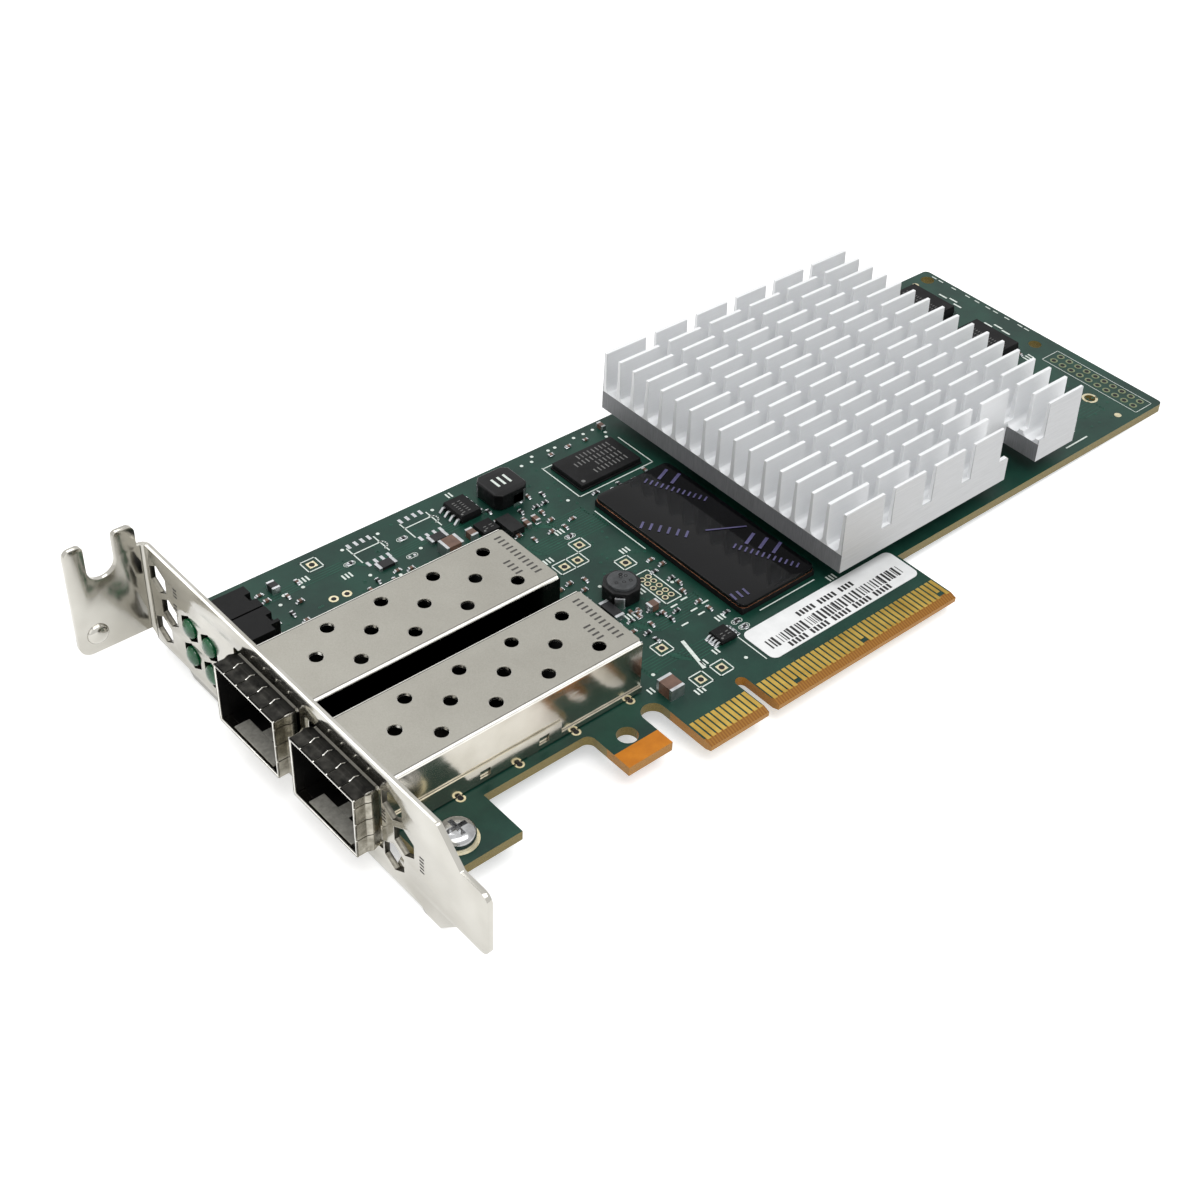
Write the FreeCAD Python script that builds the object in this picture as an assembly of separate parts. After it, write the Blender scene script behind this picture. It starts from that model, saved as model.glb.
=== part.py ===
import FreeCAD, Part
import math
import os

# Low-profile network interface card, dual cage, eight-lane edge connector.
#
# Frame, in millimetres: the origin is the centre line of the key slot, on the tongue's edge and on
# the component face of the board. +X runs along the card to its far end, +Y from the contacts to
# the long top edge, +Z out of the component face. The bracket stands at the -X end.

V = FreeCAD.Vector
X_AXIS, Y_AXIS, Z_AXIS = V(1, 0, 0), V(0, 1, 0), V(0, 0, 1)

# ---------------------------------------------------------------- driving dimensions
# Edge connector
contact_pitch = 1.0
contact_width = 0.7
contact_length = 4.2
contact_inset = 0.75          # tongue edge to the end of a contact
contact_plating = 0.06        # copper and gold above the laminate
contacts_before_key = 11
contacts_after_key = 38
key_gap = 3.0                 # between the contact centres on either side of the key
key_slot_width = 1.9
key_slot_depth = 7.65
tongue_margin = 0.65          # last contact's centre to the tongue's end
short_contact_cut = 1.1       # how much the presence contacts are shorter
short_contacts = (17, 31, 48)  # component side, counted from the bracket

# Board
board_thickness = 1.57
board_height = 68.9
board_left = -54.6
board_right = 109.1
board_corner_radius = 1.0
shoulder_height = 12.25       # lower long edge above the tongue's edge
lug_right = -42.0
lug_bottom = 4.0
bevel_depth = 1.1
bevel_angle = 20.0
relief_slot_width = 3.75      # between the retention tab and the tongue
retention_tab_width = 7.9
retention_tab_bottom = 3.85
retention_hole_diameter = 3.2
retention_hole_rise = 4.95    # above the tab's end
tab_root_radius = 1.3
tooling_hole_diameter = 2.6
tooling_hole_inset = 2.6
second_tooling_diameter = 2.4
second_tooling_inset = 3.6
second_tooling_drop = 30.2    # below the top edge
ring_hole_diameter = 2.0
ring_hole_inset = 9.6
ring_hole_height = 21.2

# Bracket
bracket_face = -57.15         # outer face of the strip
sheet = 0.86
strip_top = 13.55
strip_bottom = -4.85
bracket_length = 79.2
tab_face = 70.0               # face of the tab that looks at the contacts' end
tab_depth = 11.6              # out from the strip's face
tab_top = 17.35
tab_bottom = -1.75
tab_corner_radius = 2.0
prong_corner = 1.2
prong_round = 0.8             # beside the slot
prong_inner = 0.9             # prong beyond the fold, from the strip's face
screw_slot_width = 4.42
screw_slot_centre = 6.45      # out from the strip's face
screw_slot_floor = 10.65
fold_radius = 0.45
strip_end_relief = 0.9        # step in the lower edge beside the tab
relief_start = 9.8            # below the tab's face
tail_top = 8.9
tail_bottom = -2.1
tail_corner = 1.5
tail_shoulder_drop = 4.15
tail_foot_drop = 0.75
dimple_radius = 1.6
dimple_height = 0.6
dimple_inset = 3.0            # from the tab's end
dimple_rise = 3.3             # above the tab's lower edge
vent_across = 4.15
vent_row = 4.65
vent_stagger = 2.35
vent_middle = 4.3
vent_inset = 2.95             # from the tab's face to the outer vents
vent_web = 0.35               # between a vent and the nearest cage window
ear_length = 9.2
ear_width = 6.6

# Bracket screw
screw_x = -49.3
screw_y = 8.4
screw_thread = 3.0
screw_head_diameter = 5.3
screw_head_height = 2.1
screw_head_bevel = 0.9
screw_clearance = 0.1
shank_sides = 16
drive_width = 0.75
drive_span = 3.0
drive_depth = 1.1

# Transceiver cages
cage_width = 14.25
cage_pitch = 18.0
cage_first_y = 14.3           # side of the cage nearer to the contacts
cage_count = 2
cage_back = -12.7
cage_nose = 3.5               # stands out of the bracket
cage_top = 9.5
cage_floor = -0.35            # under the mouth, in front of the board's edge
cage_sheet = 0.25
cage_bend = 0.4               # outside bend radius of the cover's long edges
cage_seat = 0.05              # cover to base
skirt_lift = 0.35             # cover's lower edge above the board, over the base's ties
flange_window = 1.7
first_window = 3.9            # from the flange's end
second_window = 13.9
floor_length = 32.0           # floor sheet, from the cage's front
flange_height = 3.3
flange_end = -27.3
mouth_floor_length = 9.6
vent_hole_diameter = 2.1
vent_sides = 12
vent_hole_step = 8.92
vent_hole_row = 4.05
cage_first_vent = 5.35        # from the back of the cage
pin_width = 0.7               # flat press pins, along the cage
pin_hole_clearance = 0.08
pin_sides = 6
pin_stickout = 0.55
pin_offset = 0.18             # from the cover's side to the pins' middle
pin_pitch = 9.87
pin_back_inset = 2.4
collar_sheet = 0.15
collar_rise = 0.35
collar_band = 1.6             # plain band before the fingers
collar_crest = 2.35
collar_reach = 3.5
finger_pitch = 2.93
finger_gap = 0.3
window_margin = 0.75

# Host connectors in the cages
host_width = 11.6
host_length = 14.6
host_height = 6.4
host_back_gap = 1.6
host_slot_width = 9.9
host_slot_height = 1.9
host_slot_depth = 5.6
host_slot_rise = 2.9
host_contact_pitch = 0.8
host_contacts_per_row = 10
host_contact_width = 0.34
host_contact_sheet = 0.2

# Indicators
lens_across = 3.3
lens_opening = 4.0
lens_pitch = 5.1
lens_dome = 0.7               # stands out of the strip's face
lens_first_y = 54.25
lens_first_z = -0.05
led_block_length = 9.2
led_block_width = 10.7
led_block_height = 5.6
led_block_gap = 0.35          # behind the bracket

# Heat sink
sink_left = 26.0
sink_length = 56.9
fin_count = 17
fin_pitch = 3.42
fin_thickness = 0.9           # at the root
fin_tip = 0.62
channel_corner = 0.85         # radius in the channel's bottom corners
channel_flats = 2             # flats in each rounded corner
sink_base = 3.45
sink_height = 11.0
sink_edge_gap = 0.55          # from the board's top edge
cross_cuts = 5
cross_cut_pitch = 9.35
cross_cut_width = 2.25
notch_fins = 2
controller_size = 35.0
controller_height = 2.35
pad_size = 33.0
pad_thickness = 0.5

# Film-covered package beside the sink
spreader_width = 15.5
spreader_gap = 0.6            # to the sink
spreader_bottom = 17.0        # from the contacts' edge
spreader_film = 0.35
spreader_overhang = 0.4
package_height = 1.65
spreader_corner_radius = 1.4

# Memory
memory_length = 12.8
memory_width = 8.0
memory_height = 1.15
memory_gap = 3.8              # to the film-covered package
memory_offset = 0.6           # from its middle, towards the bracket
memory_drop = 5.8             # below the board's top edge

# Label
label_length = 31.8
label_width = 7.1
label_thickness = 0.12
label_corner_radius = 1.1
label_right_gap = 0.5         # to the tongue's end
label_bottom = 7.0

# Wound parts
choke_size = 6.4
choke_height = 3.05
choke_chamfer = 0.9
choke_x = -0.15
choke_top_gap = 6.75          # from the board's top edge to the choke's middle
choke_terminal_width = 2.3
choke_terminal_height = 2.0
choke_terminal_depth = 1.3
drum_size = 6.2
drum_height = 2.5
drum_core_diameter = 4.4
drum_core_gap = 0.12
drum_core_rise = 0.45
drum_x = -1.0
drum_drop = 36.9              # below the board's top edge
drum_base = 0.6
drum_terminal_width = 1.3
drum_terminal_height = 1.9
drum_terminal_sheet = 0.3

# Regulator and the low choke beside it
regulator_size = 3.0
regulator_height = 0.9
regulator_x = -7.3
regulator_drop = 12.2         # below the board's top edge
filter_width = 2.5
filter_length = 4.2
filter_height = 1.2
filter_offset = 3.1           # from the regulator's middle
filter_drop = 14.1

# Leaded packages
lead_thickness = 0.2
far_inset = 12.4              # from the board's far end to the two far packages
flash_drop = 9.4              # below the board's top edge
clock_drop = 25.0


# ---------------------------------------------------------------- shared shapes
def block(x0, x1, y0, y1, z0, z1):
    """Box between two corners."""
    return Part.makeBox(x1 - x0, y1 - y0, z1 - z0, V(x0, y0, z0))


def centred(x, y, length, width, z0, z1):
    """Box centred on x, y."""
    return block(x - length / 2, x + length / 2, y - width / 2, y + width / 2, z0, z1)


def rod(x, y, diameter, z0, z1):
    """Upright cylinder."""
    return Part.makeCylinder(diameter / 2, z1 - z0, V(x, y, z0), Z_AXIS)


def prism(points, direction):
    """Polygon swept along a vector."""
    corners = [V(*point) for point in points]
    return Part.Face(Part.makePolygon(corners + corners[:1])).extrude(V(*direction))


def many_sided(x, y, diameter, flats, z0, z1):
    """Upright prism with many flats, for holes that repeat."""
    steps = [2 * math.pi * (k + 0.5) / flats for k in range(flats)]
    points = [(x + diameter / 2 * math.cos(a), y + diameter / 2 * math.sin(a), z0) for a in steps]
    return prism(points, (0, 0, z1 - z0))


def faceted(rings, sides):
    """Turned shape with flat facets, from rings given as height and radius."""
    turns = [2 * math.pi * (k + 0.5) / sides for k in range(sides)]
    loops = [[V(radius * math.cos(a), radius * math.sin(a), height) for a in turns]
             for height, radius in rings]
    faces = [Part.Face(Part.makePolygon(loop + loop[:1])) for loop in (loops[0], loops[-1])]
    for lower, upper in zip(loops[:-1], loops[1:]):
        for k in range(sides):
            n = (k + 1) % sides
            corners = [lower[k], lower[n], upper[n], upper[k]]
            faces.append(Part.Face(Part.makePolygon(corners + corners[:1])))
    return Part.makeSolid(Part.makeShell(faces))


def soft_plate(x0, x1, y0, y1, z0, z1, radius):
    """Thin plate whose corners are rounded in three flats."""
    points = []
    for x, y, start in ((x1, y1, 0), (x0, y1, 90), (x0, y0, 180), (x1, y0, 270)):
        cx = x - math.copysign(radius, x - (x0 + x1) / 2)
        cy = y - math.copysign(radius, y - (y0 + y1) / 2)
        for step in range(4):
            turn = math.radians(start + 30 * step)
            points.append((cx + radius * math.cos(turn), cy + radius * math.sin(turn), z0))
    return prism(points, (0, 0, z1 - z0))


def rounded(shape, radius, picks, axis):
    """Fillet the edges that run along an axis and pass through the picked points."""
    edges = []
    for edge in shape.Edges:
        middle = edge.CenterOfMass
        along = edge.Length > 1e-6 and edge.tangentAt(edge.FirstParameter).isParallel(axis, 1e-6)
        if along and any(_matches(middle, pick) for pick in picks):
            edges.append(edge)
    return shape.makeFillet(radius, edges)


def _matches(middle, pick):
    """Compare only the coordinates that the pick gives."""
    pairs = zip((middle.x, middle.y, middle.z), pick)
    return all(want is None or abs(have - want) < 1e-4 for have, want in pairs)


def fused(shapes):
    """One solid from touching solids."""
    return shapes[0].multiFuse(shapes[1:]).removeSplitter()


def group(shapes):
    """Separate solids of one kind in one node."""
    return Part.makeCompound(shapes)


def hexagon(y, z, across, x0, x1):
    """Hexagonal prism along X, two of its sides upright."""
    reach = across / math.sqrt(3)
    angles = [math.radians(30 + 60 * k) for k in range(6)]
    points = [(x0, y + reach * math.cos(a), z + reach * math.sin(a)) for a in angles]
    return prism(points, (x1 - x0, 0, 0))


# ---------------------------------------------------------------- values worked out from them
drum_y = board_height - drum_drop
key_half = key_gap / 2
tongue_left = -key_half - (contacts_before_key - 1) * contact_pitch - tongue_margin
tongue_right = key_half + (contacts_after_key - 1) * contact_pitch + tongue_margin
retention_right = tongue_left - relief_slot_width
retention_left = retention_right - retention_tab_width
strip_back = bracket_face + sheet
tail_tip = tab_face + sheet - bracket_length
cage_front = bracket_face - cage_nose
cage_sides = [cage_first_y + i * cage_pitch for i in range(cage_count)]
sink_front = board_height - sink_edge_gap - (fin_count - 1) * fin_pitch - fin_thickness
sink_seat = controller_height + pad_thickness
sink_right = sink_left + sink_length
spreader_length = (board_height - memory_drop - memory_width - memory_gap) - spreader_bottom
sink_middle_y = (sink_front + board_height - sink_edge_gap) / 2
pins_x = [cage_back - pin_back_inset - i * pin_pitch for i in range(4)]
screw_hole = screw_thread + 2 * screw_clearance
pin_hole = math.hypot(pin_width, cage_sheet) + 2 * pin_hole_clearance


# ---------------------------------------------------------------- board and contacts
def circuit_board():
    """Laminate with its tongue, retention tab, screw lug and drilled holes."""
    t = board_thickness
    slot_round = shoulder_height - 0.5 - relief_slot_width / 2
    outline = [
        (board_left, lug_bottom), (lug_right, lug_bottom), (lug_right, shoulder_height),
        (retention_left, shoulder_height), (retention_left, retention_tab_bottom),
        (retention_right, retention_tab_bottom), (retention_right, slot_round),
        (tongue_left, slot_round), (tongue_left, 0), (tongue_right, 0),
        (tongue_right, shoulder_height), (board_right, shoulder_height),
        (board_right, board_height), (board_left, board_height),
    ]
    board = prism([(x, y, -t) for x, y in outline], (0, 0, t))
    board = rounded(board, board_corner_radius, [
        (board_right, board_height, None), (board_right, shoulder_height, None),
        (board_left, board_height, None),
    ], Z_AXIS)
    board = rounded(board, tab_root_radius, [(retention_left, shoulder_height, None)], Z_AXIS)

    key_top = key_slot_depth - key_slot_width / 2
    cuts = [
        rod(tongue_left - relief_slot_width / 2, slot_round, relief_slot_width, -t, 0),
        block(-key_slot_width / 2, key_slot_width / 2, 0, key_top, -t, 0),
        rod(0, key_top, key_slot_width, -t, 0),
        rod((retention_left + retention_right) / 2, retention_tab_bottom + retention_hole_rise,
            retention_hole_diameter, -t, 0),
        rod(board_right - tooling_hole_inset, board_height - tooling_hole_inset,
            tooling_hole_diameter, -t, 0),
        rod(board_right - second_tooling_inset, board_height - second_tooling_drop,
            second_tooling_diameter, -t, 0),
        rod(board_right - ring_hole_inset, ring_hole_height, ring_hole_diameter, -t, 0),
        rod(screw_x, screw_y, screw_hole, -t, 0),
    ]
    for side in cage_sides:
        for x in pins_x:
            for y in pin_rows(side):
                cuts.append(many_sided(x, y, pin_hole, pin_sides, -t, 0))
    board = board.cut(group(cuts))

    rise = bevel_depth * math.tan(math.radians(bevel_angle))
    for z, inward in ((0, -1), (-t, 1)):
        edge = [(tongue_left, 0, z), (tongue_left, bevel_depth, z),
                (tongue_left, 0, z + inward * rise)]
        board = board.cut(prism(edge, (tongue_right - tongue_left, 0, 0)))
    return board


def contact_xs():
    """Centres of the contacts, from the bracket's side."""
    before = [-key_half - i * contact_pitch for i in reversed(range(contacts_before_key))]
    after = [key_half + i * contact_pitch for i in range(contacts_after_key)]
    return before + after


def edge_contacts(z0, z1, short):
    """A row of plated contacts on one face of the tongue."""
    fingers = []
    start = max(contact_inset, bevel_depth)
    for number, x in enumerate(contact_xs(), start=1):
        low = start + (short_contact_cut if number in short else 0)
        high = contact_inset + contact_length
        fingers.append(block(x - contact_width / 2, x + contact_width / 2, low, high, z0, z1))
    return group(fingers)


# ---------------------------------------------------------------- bracket
def vent_places():
    """Three hexagonal openings at each end of the strip: y, z."""
    outer = tab_face - vent_inset
    tail = cage_first_y - window_margin - vent_across / 2 - vent_web
    places = []
    for row, shift in ((-1, 0), (0, 1), (1, 0)):
        z = vent_middle + row * vent_row
        places.append((outer - shift * vent_stagger, z))
        places.append((tail - shift * vent_stagger, z))
    return places


def lens_places():
    """Centres of the four indicator openings: y, z."""
    steps = [(i, j) for i in range(2) for j in range(2)]
    return [(lens_first_y + i * lens_pitch, lens_first_z + j * lens_pitch) for i, j in steps]


def strip_outline():
    """Outline of the strip as y, z, from the fold down to the tail and back."""
    shoulder = cage_first_y - 12.6
    relief_y = tab_face - relief_start
    return [
        (tab_face + sheet, strip_top), (shoulder, strip_top),
        (shoulder - tail_shoulder_drop, strip_top - tail_shoulder_drop),
        (tail_tip + tail_corner, tail_top), (tail_tip + 0.3 * tail_corner, tail_top - 0.3 * tail_corner),
        (tail_tip, tail_top - tail_corner), (tail_tip, tail_bottom + tail_corner),
        (tail_tip + tail_corner, tail_bottom),
        (shoulder - 3.6, tail_bottom), (shoulder, strip_bottom - tail_foot_drop),
        (shoulder + 3.0, strip_bottom - tail_foot_drop), (shoulder + 3.8, strip_bottom),
        (relief_y, strip_bottom), (relief_y + strip_end_relief, strip_bottom + strip_end_relief),
        (tab_face - fold_radius, strip_bottom + strip_end_relief),
        (tab_face + sheet, tab_bottom),
    ]


def screw_tab():
    """Tab beyond the fold, with the open screw slot between two rounded prongs."""
    outer = bracket_face - tab_depth
    inner = bracket_face - fold_radius
    step = bracket_face - prong_inner
    tab = prism([
        (inner, tab_face, tab_bottom), (inner, tab_face, strip_top),
        (step, tab_face, strip_top), (step, tab_face, tab_top),
        (outer, tab_face, tab_top), (outer, tab_face, tab_bottom),
    ], (0, sheet, 0))
    tab = rounded(tab, tab_corner_radius, [(outer, None, tab_bottom)], Y_AXIS)
    tab = rounded(tab, prong_corner, [(outer, None, tab_top), (step, None, tab_top)], Y_AXIS)
    half = screw_slot_width / 2
    slot_x = bracket_face - screw_slot_centre
    middle = V(slot_x, tab_face, screw_slot_floor + half)
    slot = Part.makeCylinder(half, sheet, middle, Y_AXIS)
    slot = slot.fuse(block(slot_x - half, slot_x + half, tab_face, tab_face + sheet,
                           screw_slot_floor + half, tab_top))
    tab = tab.cut(slot)
    return rounded(tab, prong_round, [(slot_x - half, None, tab_top), (slot_x + half, None, tab_top)],
                   Y_AXIS)


def ear():
    """Angle under the board that takes the screw; its leg stands on the strip's back."""
    y0, y1 = screw_y - ear_width / 2, screw_y + ear_width / 2
    top = -board_thickness
    bend = V(strip_back + sheet + fold_radius, y0, top - sheet - fold_radius)
    leg = block(strip_back, strip_back + sheet, y0, y1, strip_bottom, bend.z)
    foot = block(bend.x, strip_back + ear_length, y0, y1, top - sheet, top)
    foot = rounded(foot, ear_width / 2 - 0.3, [
        (strip_back + ear_length, y0, None), (strip_back + ear_length, y1, None)], Z_AXIS)
    ring = Part.makeCylinder(fold_radius + sheet, ear_width, bend, Y_AXIS)
    ring = ring.cut(Part.makeCylinder(fold_radius, ear_width, bend, Y_AXIS))
    ring = ring.common(block(strip_back, bend.x, y0, y1, bend.z, top))
    angle = fused([leg, ring, foot])
    return angle.cut(rod(screw_x, screw_y, screw_thread + 0.04, top - sheet, top))


def bracket():
    """Folded sheet: strip with its windows, screw tab and the ear under the board."""
    x0, x1 = bracket_face, strip_back
    strip = prism([(x0, y, z) for y, z in strip_outline()], (sheet, 0, 0))
    corner = block(x0 - fold_radius, x1, tab_face - fold_radius, tab_face + sheet,
                   tab_bottom, strip_top)
    bend = V(x0 - fold_radius, tab_face - fold_radius, strip_bottom - 5)
    height = strip_top - strip_bottom + 10
    ring = Part.makeCylinder(fold_radius + sheet, height, bend, Z_AXIS)
    ring = ring.cut(Part.makeCylinder(fold_radius, height, bend, Z_AXIS))
    ring = ring.common(corner.fuse(prism(
        [(x0 - fold_radius, y, z) for y, z in strip_outline()], (sheet + fold_radius, 0, 0))))
    ring = ring.common(block(bend.x, x1, bend.y, tab_face + sheet, bend.z, bend.z + height))
    strip = strip.cut(block(x0, x1, bend.y, tab_face + sheet, bend.z, bend.z + height))
    body = fused([strip, ring, screw_tab(), ear()])

    cuts = [hexagon(y, z, vent_across, x0, x1) for y, z in vent_places()]
    cuts += [hexagon(y, z, lens_opening, x0, x1) for y, z in lens_places()]
    for side in cage_sides:
        cuts.append(block(x0, x1, side - window_margin, side + cage_width + window_margin,
                          cage_floor - window_margin, cage_top + window_margin))
    body = body.cut(group(cuts))

    dimple = Part.makeCone(dimple_radius, 0.6 * dimple_radius, dimple_height,
                           V(bracket_face - tab_depth + dimple_inset, tab_face,
                             tab_bottom + dimple_rise), V(0, -1, 0))
    return fused([body, dimple])


def bracket_screw():
    """Pan-head screw with a cross recess, from the component side into the ear."""
    low = screw_head_height - screw_head_bevel
    reach = screw_head_diameter / 2
    head = faceted(((0, reach), (low, reach),
                    (low + 0.65 * screw_head_bevel, reach - 0.6 * screw_head_bevel),
                    (screw_head_height, reach - 1.7 * screw_head_bevel)), 24)
    head.translate(V(screw_x, screw_y, 0))
    shank = many_sided(screw_x, screw_y, screw_thread, shank_sides, -board_thickness - sheet - 0.4, 0)
    floor = screw_head_height - drive_depth
    cross = centred(screw_x, screw_y, drive_span, drive_width, floor, screw_head_height)
    other = centred(screw_x, screw_y, drive_width, drive_span, floor, screw_head_height)
    return fused([head, shank]).cut(cross.fuse(other))


# ---------------------------------------------------------------- transceiver cages


def pin_rows(side):
    """The two lines of cage pins, under the base's side walls."""
    return (side - pin_offset, side + cage_width + pin_offset)


def vent_rows(side):
    """Centres of the cover's vents: two outer rows and one staggered between them."""
    middle = side + cage_width / 2
    places = []
    for k in range(4):
        x = cage_back - cage_first_vent - k * vent_hole_step
        places += [(x, middle + vent_hole_row), (x, middle - vent_hole_row)]
        places.append((x - vent_hole_step / 2, middle))
    return places


def cage_cover(side):
    """Top, skirts and back wall, folded from one sheet, with twelve round vents."""
    s = cage_sheet
    x0, near, far = cage_front + collar_sheet, side, side + cage_width
    skirt = cage_floor + 0.05
    outer = block(x0, cage_back, near, far, skirt, cage_top)
    outer = rounded(outer, cage_bend, [(None, near, cage_top), (None, far, cage_top)], X_AXIS)
    inner = block(x0, cage_back - s, near + s, far - s, skirt, cage_top - s)
    inner = rounded(inner, cage_bend - s, [
        (None, near + s, cage_top - s), (None, far - s, cage_top - s)], X_AXIS)
    cover = outer.cut(inner)
    cover = cover.cut(block(board_left - 0.3, cage_back, near, far, skirt, skirt_lift))
    holes = [many_sided(x, y, vent_hole_diameter, vent_sides, cage_top - s, cage_top)
             for x, y in vent_rows(side)]
    corners = []
    for y0, y1 in ((near, near + 0.7), (far - 0.7, far)):
        corners.append(block(cage_back - 0.5, cage_back, y0, y1, skirt_lift, cage_top - 0.9))
    return cover.cut(group(holes + corners))


def cage_base(side):
    """Floor of the mouth and the outer side flanges, with the press pins."""
    s = cage_sheet
    near, far = side - cage_seat - s, side + cage_width + cage_seat + s
    inside0, inside1 = side + s + 0.1, side + cage_width - s - 0.1
    start = board_left - 0.3
    floor_low = cage_floor - s
    pieces = []
    for wall in (near, far - s):
        flange = block(strip_back + 0.9, flange_end, wall, wall + s, s, flange_height)
        windows = [block(x, x + flange_window, wall, wall + s, 1.0, 1.0 + 0.8 * flange_window)
                   for x in (flange_end - first_window, flange_end - second_window)]
        pieces.append(flange.cut(group(windows)))
        pieces.append(block(flange_end, cage_back, wall, wall + s, s, 1.1))
    floor = block(cage_front + collar_sheet, start - s, side, side + cage_width,
                  floor_low, cage_floor)
    middle = side + cage_width / 2
    latch = prism([
        (cage_front + 2.6, middle - 1.6, floor_low), (cage_front + 2.6, middle + 1.6, floor_low),
        (cage_front + 4.6, middle, floor_low),
    ], (0, 0, s))
    pieces.append(floor.cut(latch))
    pieces.append(block(start - s, start, inside0, inside1, floor_low, 0.05 + s))
    pieces.append(block(start - s, cage_front + floor_length, inside0, inside1, 0.05, 0.05 + s))
    for low, high in ((near, inside0), (inside1, far)):
        pieces.append(block(flange_end - 6.0, flange_end - 4.0, low, high, 0.05, 0.05 + s))
    for x in pins_x:
        for y in pin_rows(side):
            inward = -1 if y > middle else 1
            y0, y1 = sorted((y - inward * s / 2, y + inward * s / 2))
            pieces.append(block(x - pin_width / 2, x + pin_width / 2, y0, y1,
                                -board_thickness - pin_stickout, s + 0.1))
    return fused(pieces)


def finger_cuts(low, high, from_high):
    """Runs between the cuts of a collar's side, one finger pitch apart."""
    cuts = []
    place = high - finger_pitch if from_high else low + finger_pitch
    while low + 0.8 < place < high - 0.8:
        cuts.append(place)
        place += -finger_pitch if from_high else finger_pitch
    edges = [low] + sorted(cuts) + [high]
    return [(a + (finger_gap / 2 if a > low else 0), b - (finger_gap / 2 if b < high else 0))
            for a, b in zip(edges[:-1], edges[1:])]


def emi_collar(side):
    """Spring-finger collar round the mouth, bowed out before it enters the bracket's window."""
    s = collar_sheet
    near, far = side, side + cage_width
    low, high = cage_floor - cage_sheet, cage_top
    x0 = cage_front

    def finger(base, sign):
        """Section of one finger along X: band, bow and the end inside the window."""
        steps = [(collar_band, 0), (collar_crest, collar_rise), (collar_reach, 0.02)]
        inner = [(x0 + dx, base + sign * up) for dx, up in steps]
        outer = [(x, across + sign * s) for x, across in reversed(inner)]
        return inner + outer

    ring = block(x0, x0 + collar_band, near - s, far + s, low - s, high + s)
    parts = [ring.cut(block(x0, x0 + collar_band, near, far, low, high))]
    lip = block(x0, x0 + s, near, far, low, high)
    parts.append(lip.cut(block(x0, x0 + s, near + 0.3, far - 0.3, low + 0.3, high - 0.3)))
    for y0, y1 in finger_cuts(near, far, False):
        for base, sign in ((high, 1), (low, -1)):
            section = [(x, y0, z) for x, z in finger(base, sign)]
            parts.append(prism(section, (0, y1 - y0, 0)))
    for z0, z1 in finger_cuts(low, high, True):
        for base, sign in ((near, -1), (far, 1)):
            section = [(x, y, z0) for x, y in finger(base, sign)]
            parts.append(prism(section, (0, 0, z1 - z0)))
    return fused(parts)


def host_connector(side):
    """Moulded receptacle in the back of the cage, open towards the mouth."""
    y = side + cage_width / 2
    x1 = cage_back - cage_sheet - host_back_gap
    x0 = x1 - host_length
    z0 = 0.0
    body = block(x0, x1, y - host_width / 2, y + host_width / 2, z0, host_height)
    body = body.cut(block(x0, x0 + 4.4, y - host_width / 2, y + host_width / 2, z0, 0.6 * host_slot_rise))
    body = body.cut(block(x0, x0 + host_slot_depth, y - host_slot_width / 2,
                          y + host_slot_width / 2, host_slot_rise,
                          host_slot_rise + host_slot_height))
    back = prism([
        (x1 - 2.2, y - host_width / 2, host_height), (x1, y - host_width / 2, host_height),
        (x1, y - host_width / 2, host_height - 2.2),
    ], (0, host_width, 0))
    return body.cut(back)


def host_contacts(side):
    """Solder tails of the receptacle, on the board behind it."""
    y = side + cage_width / 2
    x1 = cage_back - cage_sheet - host_back_gap
    tails = []
    for k in range(host_contacts_per_row):
        across = y + (k - (host_contacts_per_row - 1) / 2) * host_contact_pitch
        tails.append(centred(x1 + 0.5, across, 1.0, host_contact_width, 0, host_contact_sheet))
    return group(tails)


# ---------------------------------------------------------------- indicators
def led_housing():
    """Two-bay light block behind the bracket, over the board's edge."""
    x0 = strip_back + led_block_gap
    x1 = x0 + led_block_length
    y0 = lens_first_y + lens_pitch / 2 - led_block_width / 2
    y1 = y0 + led_block_width
    body = block(x0, x1, y0, y1, 0, led_block_height)
    nose_low = lens_first_z - lens_across / 2 - 0.3
    nose = block(x0, board_left - 0.3, y0, y1, nose_low, 0.5)
    body = fused([body, nose])
    middle = (y0 + y1) / 2
    cuts = [block(x0, x1, middle - 0.15, middle + 0.15, led_block_height - 1.4, led_block_height)]
    cuts.append(block(x1 - 1.5, x1, y0, y0 + 1.2, 0, led_block_height))
    for y in (y0 + 2.6, y1 - 2.6):
        cuts.append(block(x1 - 1.0, x1, y - 0.8, y + 0.8, led_block_height - 1.1, led_block_height))
    return body.cut(group(cuts))


def led_lens(place):
    """Light-pipe end in one opening of the bracket, with a low dome."""
    y, z = place
    back = strip_back + led_block_gap
    length = back - bracket_face
    reach = lens_across / 2
    lens = faceted(((0, reach), (length, reach), (length + 0.6 * lens_dome, 0.78 * reach),
                    (length + lens_dome, 0.35 * reach)), 8)
    lens.rotate(V(0, 0, 0), Y_AXIS, -90)
    lens.translate(V(back, y, z))
    return lens


# ---------------------------------------------------------------- heat sink and what it cools


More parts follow.
